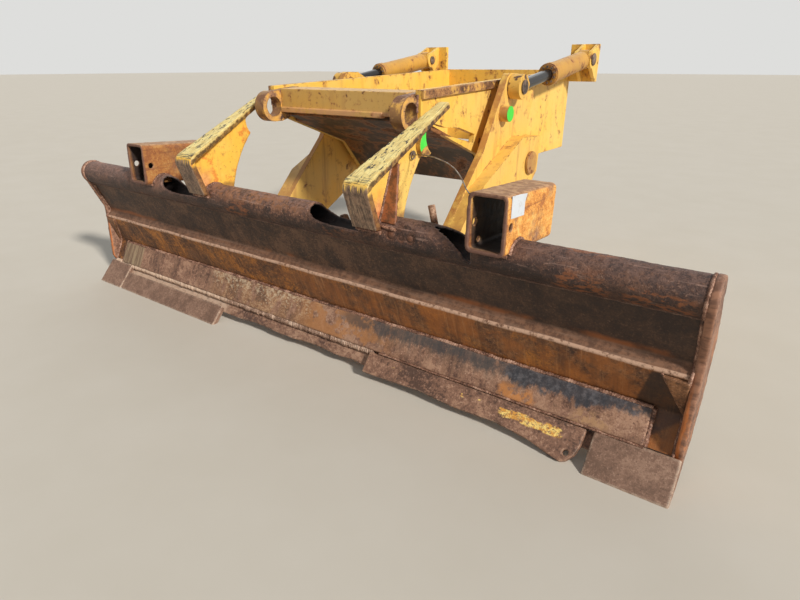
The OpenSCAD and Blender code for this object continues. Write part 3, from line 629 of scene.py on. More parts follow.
def roll_finish(tree):
    """Orange gouges low on the front, a paler pinker top, rubbed and also painted lit, scratches along it,
    painted shade underneath and inside the pipe
    """
    here = place_of(tree)
    across, behind, up = axes(here)
    look = normal_of(tree)
    # Orange and pale pink on upward faces: rubbed steel, and painted light where the top catches it
    rubbed = blots(here, 34, 0.44, 0.56, 7, 0.72)
    yield (172, 116, 74), span(across, -0.45, 0.12, 0.3), ease(look[2], 0, 0.7), rubbed, 0.6
    yield (146, 112, 98), ease(look[2], 0.1, 0.9), blots(here, 70, 0.42, 0.58, 7, 0.75), 0.6
    yield (56, 40, 38), ease(across, 0.3, 0.95), 0.42
    yield (150, 122, 112), ease(across, -0.1, -0.6), 0.2
    yield (172, 138, 122), streaked(tree, (7, 110, 110), 0.6, 0.68), 0.5
    gouged = calc("MAXIMUM", span(across, 1.1, 1.24, 0.05),
                  shares(span(across, 1.28, 1.45, 0.05), ease(up, -0.295, -0.305)))
    gouged = calc("MAXIMUM", gouged, blots(here, 3.4, 0.58, 0.66, 6, 0.6))
    crumbs = blots(place_of(tree, (0.45, 1, 1)), 60, 0.47, 0.56, 6)
    yield (188, 112, 62), gouged, crumbs, ease(mad(look[1], -1, look[2]), 1.5, 0.6), 0.85
    yield (128, 80, 52), ease(own(tree, "dent"), 0.15, 0.7), 0.55
    # Darker on downward faces: painted shade under the roll
    yield (34, 23, 17), ease(look[2], 0.35, -0.4), 0.55
    # Near black inside the pipe: painted shade in the hollow
    yield (20, 18, 22), ease(off_axis(behind, up, roll_axis[1:]), 0.051, 0.047), 0.9


roll_steel = rusty("roll steel", (40, 25, 19), (82, 54, 42), (132, 92, 70), scale=12, specks=1, bump=1,
                   depth=0.005, edge=(172, 138, 118), corner=0, more=roll_finish)
worn_piece("roll_pipe", "top_roll", 0.0055, 0.0011, roll_steel, soften=2,
           dents=[(on_blade(x, y, z), size / 1000, depth / 1000) for x, y, z, size, depth in ROLL_DENTS],
           cuts=[prism(scoop, "y", -60, 220) for scoop in SCOOPS])

# Wear plate
# A second plate welded over the lower moldboard. A blue-black run of old paint is left
# along its upper edge on the right, and its top lip is rubbed bright.


RUST_PATCHES = ((0.95, 1.06, -0.772, (196, 128, 66)), (1.18, 1.3, -0.775, (176, 136, 98)))


def wear_finish(tree):
    """From the left: brown, orange tan with cream flecks, then old paint fading down from the top"""
    here = place_of(tree)
    x, z = axes(here)[::2]
    length = mad(grain(here, 7, 6, 0.6), 0.24, calc("SUBTRACT", x, 0.12))
    yield (160, 122, 96), streaked(tree, (60, 6, 7), 0.44, 0.6), 0.4
    tan = rust_of(tree, 13, (96, 68, 50), (144, 104, 72), (186, 148, 112), 0.9)["Color"]
    flecks = ease(mad(z, 1.6, grain(place_of(tree, (0.7, 1, 1)), 95, 5, 0.75)), -0.63, -0.6)
    tan = layer(tan, (220, 202, 172), flecks, 0.55)
    cloud = blots(place_of(tree, (1, 0.4, 0.4)), 24, 0.36, 0.5, 7, 0.62)
    yield tan, span(length, -0.6, 0.1, 0.14), cloud, 0.85
    yield (172, 116, 66), span(length, 0, 0.45, 0.2), blots(here, 12, 0.48, 0.54, 8, 0.68), 0.7
    end = layer((112, 92, 70), (166, 146, 114), streaked(tree, (90, 6, 6), 0.4, 0.6))
    yield end, ease(x, -1.21, -1.225), 0.75
    for left, right, low, rust in RUST_PATCHES:
        patch = shares(span(length, left, right, 0.04), ease(z, low + 0.035, low + 0.01))
        yield rust, patch, blots(here, 30, 0.42, 0.54, 6), 0.8
    ragged = calc("SUBTRACT", grain(place_of(tree, (1, 1, 0.25)), 26, 8, 0.75), 0.5)
    drop = mad(ragged, 0.12, z)
    fading = shares(ease(drop, -0.785, -0.7), span(length, 0.36, 1.05, 0.1))
    yield (72, 68, 62), fading, blots(place_of(tree, (1, 0.5, 0.25)), 60, 0.4, 0.56), 0.66
    crest = shares(ease(drop, -0.742, -0.718), span(length, 0.22, 1, 0.12))
    yield (56, 56, 58), crest, blots(here, 18, 0.36, 0.5), 0.72
    lower = mad(ease(x, 1.2, 1.34), -0.022, drop)
    solid = shares(ease(lower, -0.748, -0.728), span(length, 0.95, 1.4, 0.05))
    blue = layer((40, 43, 50), (92, 90, 94), blots(here, 44, 0.42, 0.66, 7, 0.75))
    yield blue, solid, blots(here, 12, 0.3, 0.42, 6, 0.65), 0.93


wear_steel = rusty("wear plate steel", (90, 62, 49), (136, 99, 79), (174, 135, 110), scale=9, specks=0.7,
                   bump=0.6, edge=(160, 124, 104), breadth=0.004, more=wear_finish)
worn_piece("wear_plate_steel", "wear_plate", 0.0055, 0.0007, wear_steel)

# Edges
# Hardened bars bolted under the wear plate: a bare base edge, a worn centre edge with one
# empty bolt hole and rubbed yellow paint, two bits at the left end and one at the right.


def bit_finish(tree):
    """Dust and light wear on the narrow upper faces, also painted light where these faces catch it"""
    look = normal_of(tree)
    # Pale on upward faces: dust, and painted light on the lit top
    yield (200, 174, 152), ease(look[1], 0.2, 0.5), ease(look[2], 0.3, 0.6), 0.75


def base_finish(tree):
    """Pale dust above the left bits, also painted light on that lit band"""
    here = place_of(tree)
    # Pale above the left bits: dust, and painted light on the lit band
    yield (206, 178, 154), ease(axes(here)[0], -0.46, -0.5), blots(here, 40, 0.3, 0.5, 6), 0.8


PAINT_TOP = -0.818
YELLOW_RUNS = ((0.5, 0.64, -0.826, 0.5), (0.8, 0.95, -0.834, 0.7), (0.94, 1.17, -0.842, 0.9))


def centre_finish(tree):
    """Crumbs of yellow paint near the top, thickest over the right third"""
    here = place_of(tree)
    x, z = axes(here)[::2]
    crumbs = blots(place_of(tree, (0.7, 1, 1)), 130, 0.4, 0.52, 7, 0.75)
    patches = []
    for left, right, low, share in YELLOW_RUNS:
        patches.append(shares(span(x, left, right, 0.04), span(z, low, PAINT_TOP, 0.014), share))
    flecks = calc("MAXIMUM", calc("MAXIMUM", patches[0], patches[1]), patches[2])
    islands = blots(place_of(tree, (1, 2, 2)), 11, 0.58, 0.46, 5, 0.6)
    kept = ease(calc("SUBTRACT", flecks, shares(islands, 0.5)), 0.25, 0.45)
    yellow = layer((214, 152, 66), (246, 212, 122), blots(here, 60, 0.44, 0.56, 5))
    yield yellow, crumbs, kept


bit_steel = rusty("end bit steel", (108, 81, 65), (129, 98, 80), (150, 118, 98), scale=11, bump=0.6,
                  edge=(210, 188, 166), breadth=0.012, more=bit_finish)
base_steel = rusty("base edge steel", (84, 59, 48), (132, 97, 77), (166, 130, 106), specks=0.8, bump=0.6,
                   edge=(190, 158, 136), breadth=0.006, more=base_finish)
centre_steel = rusty("centre edge steel", (82, 58, 46), (128, 93, 74), (160, 122, 98), specks=0.7, bump=0.6,
                     edge=(196, 162, 136), breadth=0.006, more=centre_finish)
worn_piece("base_edge_bar", "base_edge", 0.0055, 0.001, base_steel)
worn_piece("centre_edge_bar", "centre_edge", 0.004, 0.0008, centre_steel)
for bit in ("end_bit_left_outer", "end_bit_left_inner", "end_bit_right"):
    worn_piece(bit + "_bar", bit, 0.004, 0.0006, bit_steel)

# End plates
# Flame-cut plates that close the blade's ends, with small three-cornered gussets welded
# into the valley's corners. Their front edges are mottled pink and orange.


def end_finish(tree):
    """Brown inside, the cut front edge pinkish with an orange strip along its inner side"""
    here = place_of(tree)
    x, z = axes(here)[::2]
    cut_face = layer((110, 75, 57), (156, 110, 84), streaked(tree, (20, 60, 60), 0.38, 0.62))
    inner = ease(mad(grain(here, 16), 0.02, calc("ABSOLUTE", x)), 1.4995, 1.493)
    cut_face = layer(cut_face, (196, 108, 40), inner, ease(z, -0.52, -0.66), 0.85)
    yield cut_face, ease(normal_of(tree)[1], -0.35, -0.75), 0.9
    yield (184, 114, 62), blots(here, 7, 0.54, 0.6, 7, 0.65), 0.5


end_steel = rusty("end plate steel", (84, 58, 45), (126, 91, 72), (158, 120, 98), specks=0.6, bump=0.7,
                  edge=(200, 158, 130), breadth=0.005, more=end_finish)
gusset_steel = rusty("gusset steel", (78, 51, 32), (120, 80, 50), (154, 106, 68), scale=11, specks=0.6,
                     bump=0.6, edge=(190, 150, 122), breadth=0.004)
TIPS = ("left", "right")
for tip in TIPS:
    worn_piece(f"end_plate_{tip}_steel", f"end_plate_{tip}", 0.0055, 0.0009, end_steel)
worn_piece("valley_gussets", "corner_gussets", 0.003, 0.0004, gusset_steel)

# Back of the blade
# A box beam welded behind the ridge, and upright ribs from it to the roll. Dull brown
# primer rust with remains of ochre.


def eased_piece(name, node, body, material, slot, width=0.003, steps=2):
    """Copy of a solid with its flats whole again and its edges rounded, as a piece"""
    form = solid_of(node)
    bmesh.ops.dissolve_limit(form, angle_limit=math.radians(0.6), verts=form.verts, edges=form.edges)
    mesh = mesh_of(form, "eased")
    mesh.shade_smooth()
    holder = put("eased", mesh)
    bevel = holder.modifiers.new("edges", "BEVEL")
    bevel.width = width
    bevel.segments = steps
    bevel.limit_method = "ANGLE"
    bevel.angle_limit = math.radians(35)
    bevel.miter_outer = "MITER_ARC"
    weights = holder.modifiers.new("normals", "WEIGHTED_NORMAL")
    weights.keep_sharp = False
    done = applied(holder)
    bpy.data.meshes.remove(mesh)
    add_piece(name, done, body, [node], material, slot)


def primer_finish(tree):
    """Remains of ochre paint"""
    yield (176, 134, 62), blots(place_of(tree), 4, 0.55, 0.6, 8, 0.65), 0.7


back_steel = rusty("back steel", (66, 46, 36), (108, 78, 58), (138, 104, 78), scale=6, specks=0.4,
                   edge=(150, 116, 92), more=primer_finish)
eased_piece("back_box", "back_beam", "blade", back_steel, "rusted_steel", 0.006, 3)
eased_piece("back_rib_plates", "back_ribs", "blade", back_steel, "rusted_steel", 0.002)

# Sockets
# Square-mouthed tubes welded down into the roll, with cross pin holes. Bright orange rust
# on the sides, long scratches, browner frames; a bare white label on the right one.
SOCKET_X, TUBE_SLOPE = 0.895, 0.0524


def socket_finish(tree):
    """Orange flanks with scratches, rubbed tops, brown rim and painted shade inside"""
    here = place_of(tree)
    x, y, z = axes(here)
    look = normal_of(tree)
    flank = ease(calc("ABSOLUTE", look[0]), 0.5, 0.9)
    warm = rust_of(tree, 15, (178, 108, 50), (226, 154, 70), (246, 190, 104), 0.8)["Color"]
    yield warm, flank, blots(here, 7, 0.34, 0.5, 7, 0.65)
    leaning = blots(place_of(tree, (10, 70, 5), (0.5, 0, 0)), 1, 0.62, 0.65, 4, 0.5)
    scratch = calc("MAXIMUM", streaked(tree, (10, 4, 90), 0.58, 0.62), leaning)
    yield (126, 76, 44), scratch, flank, 0.5
    rubbed = layer((150, 108, 72), (200, 158, 116), blots(here, 36, 0.42, 0.6))
    yield rubbed, ease(look[2], 0.6, 0.9), 0.8
    yield (108, 64, 46), flank, ease(x, 0.1, -0.1), 0.6
    frame_tone = layer((72, 47, 40), (118, 82, 70), grain(here, 30))
    yield frame_tone, ease(y, -1.892, -1.9), 0.8
    side = calc("ABSOLUTE", calc("SUBTRACT", calc("ABSOLUTE", x), SOCKET_X))
    level = calc("ABSOLUTE", calc("ADD", mad(y, TUBE_SLOPE, calc("ADD", z, 0.0995)), 0.196))
    # Near black inside the tube: painted shade
    inside = shares(ease(side, 0.0545, 0.0525), ease(level, 0.081, 0.078), ease(y, -1.902, -1.88))
    yield (17, 15, 20), inside, 0.93


socket_steel = rusty("socket steel", (96, 64, 48), (142, 100, 72), (174, 130, 98), specks=0.7, bump=0.6,
                     edge=(122, 86, 66), breadth=0.005, more=socket_finish)
for tip in TIPS:
    worn_piece(f"socket_{tip}_tube", f"socket_{tip}", 0.004, 0.0007, socket_steel)


def label_finish(tree):
    dust = grain(place_of(tree), 60, 6)
    return layer((206, 211, 216), (176, 172, 164), ease(dust, 0.5, 0.75)), ease(dust, -1, 1.4), dust


LABEL_AT, LABEL_LONG, LABEL_HIGH, LABEL_DROP = (959.4, 22, 726), 88, 64, 5.5
COLUMNS, ROWS = 9, 11
label = bpy.data.meshes.new("label")
cells, quads = [], []
for i in range(COLUMNS):
    for k in range(ROWS):
        u, v = i / (COLUMNS - 1), k / (ROWS - 1)
        curl = 0.0015 * max(0.0, u - 0.7) * max(0.0, v - 0.6) * 30
        curl += 0.0002 * noise.noise(Vector((u * 3, v * 3, 1)))
        cells.append(on_blade(LABEL_AT[0] + curl * 1000, LABEL_AT[1] + LABEL_LONG * u,
                              LABEL_AT[2] + LABEL_HIGH * v - LABEL_DROP * u))
        if i < COLUMNS - 1 and k < ROWS - 1:
            quads.append((i * ROWS + k, (i + 1) * ROWS + k, (i + 1) * ROWS + k + 1, i * ROWS + k + 1))
label.from_pydata(cells, [], quads)
label_holder = put("label", label)
thick = label_holder.modifiers.new("thick", "SOLIDIFY")
thick.thickness = 0.0004
thick.offset = 1.0
label_paper = coated("blank label", label_finish, bump=0.1, depth=0.0005)
add_piece("blank_label", outward(applied(label_holder)), "blade", [], label_paper, "rusted_steel")

# Hook arms
# Thick plate arms, bent over at the top and cut to a hooked mouth. Yellow paint chipped
# to black on the flange, scraped to dark steel in front, brown on the leaning gusset.


def painted(name, paint, faded, dark=(62, 40, 26), mid=(122, 76, 42), light=(168, 110, 62), chips=0.6,
            scale=9, edge=0.35, run=(26, 26, 2.2), runs=0.35, more=no_layers):
    """Yellow paint over rusting steel: chips where noise and edges pass a level, and rust runs down"""
    def build(tree):
        here = place_of(tree)
        base = rust_of(tree, 10, dark, mid, light, 0.3)
        coat = layer(paint, faded, blots(here, 2.6, 0.35, 0.65, 7, 0.65))
        dirt = grain(here, 38, 8, 0.75)
        coat = layer(coat, mid, ease(dirt, 0.55, 0.75), 0.35)
        coat = layer(coat, light, streaked(tree, run, 0.5, 0.7), runs)
        edges = group(tree, worn_edge, {"Breadth": 0.007, "Break": 45.0})["Mask"]
        level = mad(edges, edge, grain(here, scale, 9, 0.68))
        gone = ease(level, chips, chips + 0.03)
        coat = layer(coat, light, ease(level, chips - 0.08, chips), 0.6)
        tone = layer(coat, base["Color"], gone)
        rough = mad(gone, 0.25, mad(dirt, 0.3, 0.36))
        height = calc("SUBTRACT", shares(base["Height"], 0.5), shares(gone, 0.45))
        for over, *masks in more(tree):
            tone = layer(tone, over, *masks)
        return tone, rough, height
    return coated(name, build, 0.35)


def strokes(across, along, fine, long, low, high):
    """Mask of short strokes: fine to the metre across their run, long to the metre along it"""
    run = step(across.id_data, "ShaderNodeCombineXYZ", {0: shares(across, fine), 1: shares(along, long)})[0]
    return ease(grain(run, 1, 4, 0.6, 0.3), low, high)


FLANGE_TIP_Y, FLANGE_TIP_Z = -1.96, -0.125
FLANGE_RUN, LEG_NORMAL, FLANGE_SLOPE = (0.906, 0.423), (0.944, 0.33), -0.466
WEB_OUT = 0.4795


def hook_finish(tree):
    """Salmon web, dark gusset, pale scratched flange with ragged brown sides, bare leg in front"""
    here = place_of(tree)
    x, y, z = axes(here)
    look = normal_of(tree)
    flank = ease(calc("ABSOLUTE", look[0]), 0.6, 0.9)
    yield (222, 140, 56), blots(here, 12, 0.55, 0.62, 8), flank, ease(x, 0.1, -0.1)
    yield (120, 72, 40), blots(here, 95, 0.6, 0.65, 5), 0.6
    salmon = layer((196, 118, 74), (228, 164, 104), blots(here, 34, 0.4, 0.6))
    low = ease(mad(grain(here, 9), 0.16, z), -0.07, -0.15)
    yield salmon, flank, ease(y, -1.8, -1.86), low
    brown = layer((102, 66, 44), (150, 92, 56), blots(here, 40, 0.42, 0.58, 7, 0.72))
    yield brown, ease(mad(grain(here, 14, 6), 0.06, z), -0.215, -0.235), 0.7
    gusset = shares(ease(calc("ABSOLUTE", x), WEB_OUT, WEB_OUT + 0.0015), ease(y, -1.89, -1.88))
    yield brown, gusset, ease(look[2], 0.8, 0.6)
    along = mad(y, FLANGE_RUN[0], shares(z, FLANGE_RUN[1]))
    top = ease(look[2], 0.5, 0.8)
    pale = layer((244, 226, 152), (220, 194, 118), blots(here, 30, 0.38, 0.62, 8, 0.72))
    yield pale, top, 0.9
    dark_line = (74, 62, 42)
    yield dark_line, top, strokes(x, along, 230, 16, 0.56, 0.62), 0.55
    bend = span(mad(grain(here, 12, 6, 0.6), 0.04, along), -1.84, -1.765, 0.03)
    hatch = strokes(along, x, 190, 18, 0.5, 0.56)
    yield dark_line, ease(look[2], 0.1, 0.5), hatch, bend, 0.85
    chip = blots(place_of(tree, (1.6, 0.6, 0.6)), 52, 0.58, 0.6, 5, 0.62)
    yield (52, 44, 36), top, chip, blots(here, 6, 0.42, 0.54, 4, 0.6)
    tip_y, tip_z = calc("SUBTRACT", y, FLANGE_TIP_Y), calc("SUBTRACT", z, FLANGE_TIP_Z)
    rise = mad(tip_y, FLANGE_SLOPE, tip_z)
    plate_side = layer((158, 120, 66), (66, 48, 36), blots(here, 46, 0.42, 0.56, 8, 0.72))
    low_side = mad(grain(here, 50, 5, 0.6), 0.03, calc("SUBTRACT", rise, 0.015))
    flange_side = layer(layer(pale, plate_side, 0.4), plate_side, ease(low_side, -0.006, -0.011))
    yield flange_side, flank, ease(rise, -0.031, -0.028), 0.92
    deep = mad(tip_y, LEG_NORMAL[0], shares(tip_z, LEG_NORMAL[1]))
    leg_side = layer(plate_side, (104, 66, 46), 0.5)
    yield leg_side, flank, ease(deep, 0.028, 0.024), ease(rise, -0.03, -0.05), 0.9
    remains = mad(strokes(x, z, 120, 8, 0.3, 0.7), 0.05, z)
    bare = layer((92, 70, 55), (142, 112, 88), blots(here, 55, 0.4, 0.6, 7, 0.75))
    bare = layer(bare, (190, 160, 128), strokes(x, z, 300, 12, 0.52, 0.62), 0.6)
    bare = layer(bare, (40, 31, 27), strokes(x, z, 210, 9, 0.46, 0.38), 0.6)
    leg = shares(ease(remains, -0.098, -0.112), ease(deep, 0.012, 0.006), ease(look[1], -0.3, -0.6))
    yield bare, leg


hook_paint = painted("hook arm paint", (240, 186, 70), (238, 198, 104), chips=0.64, edge=0.16, scale=14,
                     more=hook_finish)
BEND_Y, BEND_Z, BEND_R = -16.5, 756.7, 35
above_bend = [(BEND_Y + BEND_R * math.cos(math.radians(a)), BEND_Z + BEND_R * math.sin(math.radians(a)))
              for a in range(115, 200, 12)] + [(-90, 745), (-90, 810), (-31, 810)]
under_leg = [(-60, 560), (-60, 622), (12, 622), (22, 606), (22, 560)]
for tip, side in zip(TIPS, (-1, 1)):
    ends = sorted((390 * side, 515 * side))
    worn_piece(f"hook_arm_{tip}_steel", f"hook_arm_{tip}", 0.0042, 0.0006, hook_paint, "yellow_paint",
               cuts=[prism(above_bend, "x", *ends), prism(under_leg, "x", *ends)])


def pad_finish(tree):
    """Green over the outer face down to a ragged line, yellow and brown round it"""
    here = place_of(tree)
    y, z = axes(here)[1:]
    out = ease(calc("ABSOLUTE", normal_of(tree)[0]), 0.7, 0.9)
    spots = grain(here, 34)
    kept = ease(mad(spots, 0.02, mad(y, -0.5, z)), 0.772, 0.778)
    green = layer((62, 214, 60), (96, 226, 88), ease(spots, 0.4, 0.7))
    bare = layer((206, 156, 72), (120, 82, 48), ease(spots, 0.42, 0.58))
    tone = layer(layer(bare, green, out, kept), (90, 74, 44), ease(spots, 0.66, 0.72))
    return tone, ease(spots, -0.6, 1.8), spots


green_paint = coated("green face paint", pad_finish, bump=0.2, depth=0.001)
for tip in TIPS:
    eased_piece(f"hook_pad_{tip}_disc", f"hook_pad_{tip}", "blade", green_paint, "green_paint", 0.002)

# Ring and stop rod
# A round ring hung on a welded peg, and a sawn-off bar that leans against the roll.
pin_steel = rusty("dark pin steel", (52, 42, 36), (96, 78, 66), (140, 118, 100), scale=16, specks=0.4,
                  bump=0.3, depth=0.001, edge=(170, 150, 132), breadth=0.003)
bar_steel = rusty("leaning bar steel", (78, 54, 40), (132, 96, 72), (186, 150, 122), scale=16,
                  bump=0.4, depth=0.001, edge=(190, 150, 120), breadth=0.004)
eased_piece("hung_ring", "lock_ring", "blade", pin_steel, "pin_steel", 0.0005, 1)
worn_piece("leaning_bar", "stop_rod", 0.002, 0.0004, bar_steel)

# Push arms
# Tall plates from the blade back to the nose's pivots, boxed out below, with a round stub
# and the boss of the cylinder's pin. Warm yellow paint, brown along the front edges.
STUB_AT, ARM_FACE_X = (-0.9819, 0.0288), 0.513


def arm_finish(tree):
    """Brown front edge, green stub with a dark brown collar, its darkness partly painted shade of the
    stub's side
    """
    here = place_of(tree)
    x, y, z = axes(here)
    look = normal_of(tree)
    sideways = calc("ABSOLUTE", look[0])
    yield (168, 106, 56), ease(look[1], -0.4, -0.7), blots(here, 9, 0.36, 0.52), 0.75
    face = ease(calc("ABSOLUTE", x), ARM_FACE_X, ARM_FACE_X + 0.0015)
    near = shares(ease(z, 0.07, 0.066), ease(y, -0.946, -0.95))
    yield (66, 206, 60), face, ease(sideways, 0.7, 0.9), ease(z, -0.02, -0.01), near
    # The stub's round side dark brown: rust, darkened as painted shade
    collar = shares(face, ease(off_axis(y, z, STUB_AT), 0.036, 0.034), ease(sideways, 0.8, 0.6))
    yield (98, 54, 38), collar, 0.9


arm_paint = painted("push arm paint", (238, 184, 74), (230, 186, 96), chips=0.63, edge=0.16, scale=15,
                    runs=0.5, more=arm_finish)
for tip in TIPS:
    eased_piece(f"push_arm_{tip}_steel", f"push_arm_{tip}", "blade", arm_paint, "yellow_paint", 0.004, 3)
eased_piece("tie_tube", "arm_tie", "blade", arm_paint, "yellow_paint", 0.002)

# Nose of the frame
# Bent crossmember with a rolled lip, two ears with open bores, sloping belly, tall side
# plates under rusty rails, and the rear plate. Ochre paint with dark specks.


def nose_finish(tree):
    """Lip rubbed pinkish, and a painted highlight along the rolled lip"""
    here = place_of(tree)
    # Pinkish lip: rubbed paint, and a painted highlight along the rolled edge
    yield (206, 152, 110), ease(axes(here)[2], 0.058, 0.05), blots(here, 12, 0.35, 0.5, 6), 0.7


def ear_finish(tree):
    """Round sides scraped brown"""
    round_side = ease(calc("ABSOLUTE", normal_of(tree)[0]), 0.7, 0.4)
    yield (118, 80, 54), round_side, blots(place_of(tree), 26, 0.36, 0.5), 0.8


def rail_finish(tree):
    """Remains of the yellow coat"""
    yield (214, 164, 78), blots(place_of(tree), 15, 0.53, 0.57, 8), 0.8


nose_paint = painted("crossmember paint", (216, 164, 74), (208, 166, 92), chips=0.61, edge=0.12, scale=34,
                     runs=0.25, more=nose_finish)
side_paint = painted("side plate paint", (240, 188, 74), (234, 194, 102), chips=0.62, edge=0.14, scale=18,
                     runs=0.22, run=(22, 22, 3.5))
ear_paint = painted("ear paint", (226, 176, 80), (214, 160, 82), (70, 48, 38), (120, 84, 62),
                    (160, 118, 88), chips=0.52, edge=0.2, scale=12, more=ear_finish)
rail_steel = rusty("rail steel", (78, 51, 32), (128, 86, 52), (176, 126, 74), scale=9, specks=0.6,
                   edge=(190, 150, 110), more=rail_finish)
# The belly's dark brown is painted shade: it lies in the shade of the machine above
belly_shade_paint = painted("belly paint", (70, 51, 26), (60, 44, 28), chips=0.56, edge=0.14)
eased_piece("crossmember_plate", "nose_crossmember", "frame_nose", nose_paint, "yellow_paint", 0.004, 3)
eased_piece("belly_sheet", "belly_plate", "frame_nose", belly_shade_paint, "yellow_paint")
eased_piece("rear_sheet", "rear_bulkhead", "frame_nose", side_paint, "yellow_paint")
for tip in TIPS:
    eased_piece(f"ear_{tip}_boss", f"frame_ear_{tip}", "frame_nose", ear_paint, "yellow_paint", 0.004, 3)
    eased_piece(f"side_{tip}_plate", f"side_plate_{tip}", "frame_nose", side_paint, "yellow_paint")
    eased_piece(f"rail_{tip}_bar", f"top_rail_{tip}", "frame_nose", rail_steel, "rusted_steel")

# Pins and brackets
# Turned pivot pins with plain heads, and the two-lugged brackets that carry the lift
# cylinders' rear pins.
pin_paint = painted("pin head paint", (206, 156, 70), (170, 126, 70), chips=0.55, edge=0.2, scale=22)
for tip in TIPS:
    eased_piece(f"pivot_pin_{tip}_turned", f"pivot_pin_{tip}", "frame_nose", pin_paint, "pin_steel")
    eased_piece(f"base_pin_{tip}_turned", f"base_pin_{tip}", "frame_nose", pin_steel, "pin_steel", 0.002)
    eased_piece(f"bracket_{tip}_lugs", f"cylinder_bracket_{tip}", "frame_nose", side_paint, "yellow_paint")
    eased_piece(f"eye_pin_{tip}_turned", f"eye_pin_{tip}", f"rod_{tip}", pin_steel, "pin_steel", 0.002)

# Lift cylinders
# Painted barrels with a bolted head ring, chrome rods coloured near black as painted shade and dark
# reflection, and yellow eyes at both ends.
barrel_paint = painted("barrel paint", (206, 154, 60), (188, 140, 64), edge=0.2, scale=14)
ROD_EYE_Y = -0.838


def rod_finish(tree):
    """Chrome rod near black as painted shade and dark reflection, chipped yellow eye"""
    here = place_of(tree)
    rings = grain(place_of(tree, (3, 60, 3)), 1, 4, 0.6)
    # Near black: painted shade and dark reflection of the chrome rod
    black = layer((14, 14, 15), (38, 36, 35), rings)
    eye_paint = layer((196, 140, 54), (238, 194, 96), grain(here, 9, 7, 0.65))
    eye_paint = layer(eye_paint, (96, 66, 44), blots(here, 24, 0.56, 0.6, 8))
    near_eye = ease(axes(here)[1], ROD_EYE_Y, ROD_EYE_Y - 0.005)
    rough = mad(near_eye, 0.35, mad(rings, 0.15, 0.12))
    return layer(black, eye_paint, near_eye), rough, rings


rod_shade_black = coated("rod black", rod_finish, bump=0.08, depth=0.0005)
for tip in TIPS:
    eased_piece(f"barrel_{tip}_tube", f"barrel_{tip}", f"barrel_{tip}", barrel_paint, "yellow_paint")
    eased_piece(f"rod_{tip}_bar", f"rod_{tip}", f"rod_{tip}", rod_shade_black, "rod_chrome")

# Welds and gland bolts
# Lumpy beads of weld along the joints of the blade and the ears, rust brown with pale
# specks, and the ring of socket bolts that holds each cylinder's gland.


def formed(tree, values, mesh):
    """Plain mesh that the tree makes of a mesh, with its inputs set by their identifiers"""
    holder = put("formed", mesh)
    nodes = holder.modifiers.new("form", "NODES")
    nodes.node_group = tree
    for item in tree.interface.items_tree:
        if item.in_out == "INPUT" and item.name in values:
            nodes[item.identifier] = values[item.name]
    return applied(holder)


GEOMETRY = "NodeSocketGeometry"
METAL = ("NodeSocketMaterial", None)
bead, takes = shared(
    "weld bead", {"Geometry": (GEOMETRY, None), "Radius": (FLOAT, 0.007), "Spacing": (FLOAT, 0.009),
                  "Seed": (FLOAT, 3.0), "Metal": METAL}, {"Geometry": GEOMETRY}, "GeometryNodeTree")
line = step(bead, "GeometryNodeMeshToCurve", {0: takes["Geometry"]})[0]
line = step(bead, "GeometryNodeResampleCurve", {"Curve": line, "Length": 0.0028}, mode="LENGTH")[0]
here = step(bead, "GeometryNodeInputPosition")[0]
wander = step(bead, "ShaderNodeTexNoise", {"Vector": here, "W": takes["Seed"], "Scale": 24, "Detail": 2},
              noise_dimensions="4D")["Color"]
shift = step(bead, "ShaderNodeVectorMath", {0: wander, 1: (0.5, 0.5, 0.5)}, operation="SUBTRACT")[0]
shift = step(bead, "ShaderNodeVectorMath", {0: shift, "Scale": takes["Radius"]}, operation="SCALE")[0]
line = step(bead, "GeometryNodeSetPosition", {"Geometry": line, "Offset": shift})[0]
run = step(bead, "GeometryNodeSplineParameter")["Length"]
ripple = calc("ABSOLUTE", calc("SINE", shares(calc("DIVIDE", run, takes["Spacing"]), math.pi)))
lumps = step(bead, "ShaderNodeTexNoise", {"Vector": here, "W": takes["Seed"], "Scale": 70, "Detail": 2},
             noise_dimensions="4D")[0]
share = step(bead, "GeometryNodeInputNamedAttribute", {"Name": "size"}, data_type="FLOAT")[0]
thick = shares(mad(ripple, 0.22, mad(lumps, 0.9, 0.35)), share, takes["Radius"])
section = step(bead, "GeometryNodeCurvePrimitiveCircle", {"Resolution": 8, "Radius": 1})[0]
tube = step(bead, "GeometryNodeCurveToMesh", {
    "Curve": line, "Profile Curve": section, "Scale": thick, "Fill Caps": True})[0]
tube = step(bead, "GeometryNodeSetShadeSmooth", {"Geometry": tube})[0]
tube = step(bead, "GeometryNodeRealizeInstances", {"Geometry": tube})[0]
tube = step(bead, "GeometryNodeSetMaterial", {"Geometry": tube, "Material": takes["Metal"]})[0]
step(bead, "NodeGroupOutput", {0: tube})


def round_roll(across, low, high, steps=14):
    """Points in mm round the roll, from one angle to another, 0 to the rear and 90 up"""
    angles = [math.radians(low + (high - low) * k / steps) for k in range(steps + 1)]
    return [(across, ROLL_Y + ROLL_R * math.cos(a), ROLL_Z + ROLL_R * math.sin(a)) for a in angles]


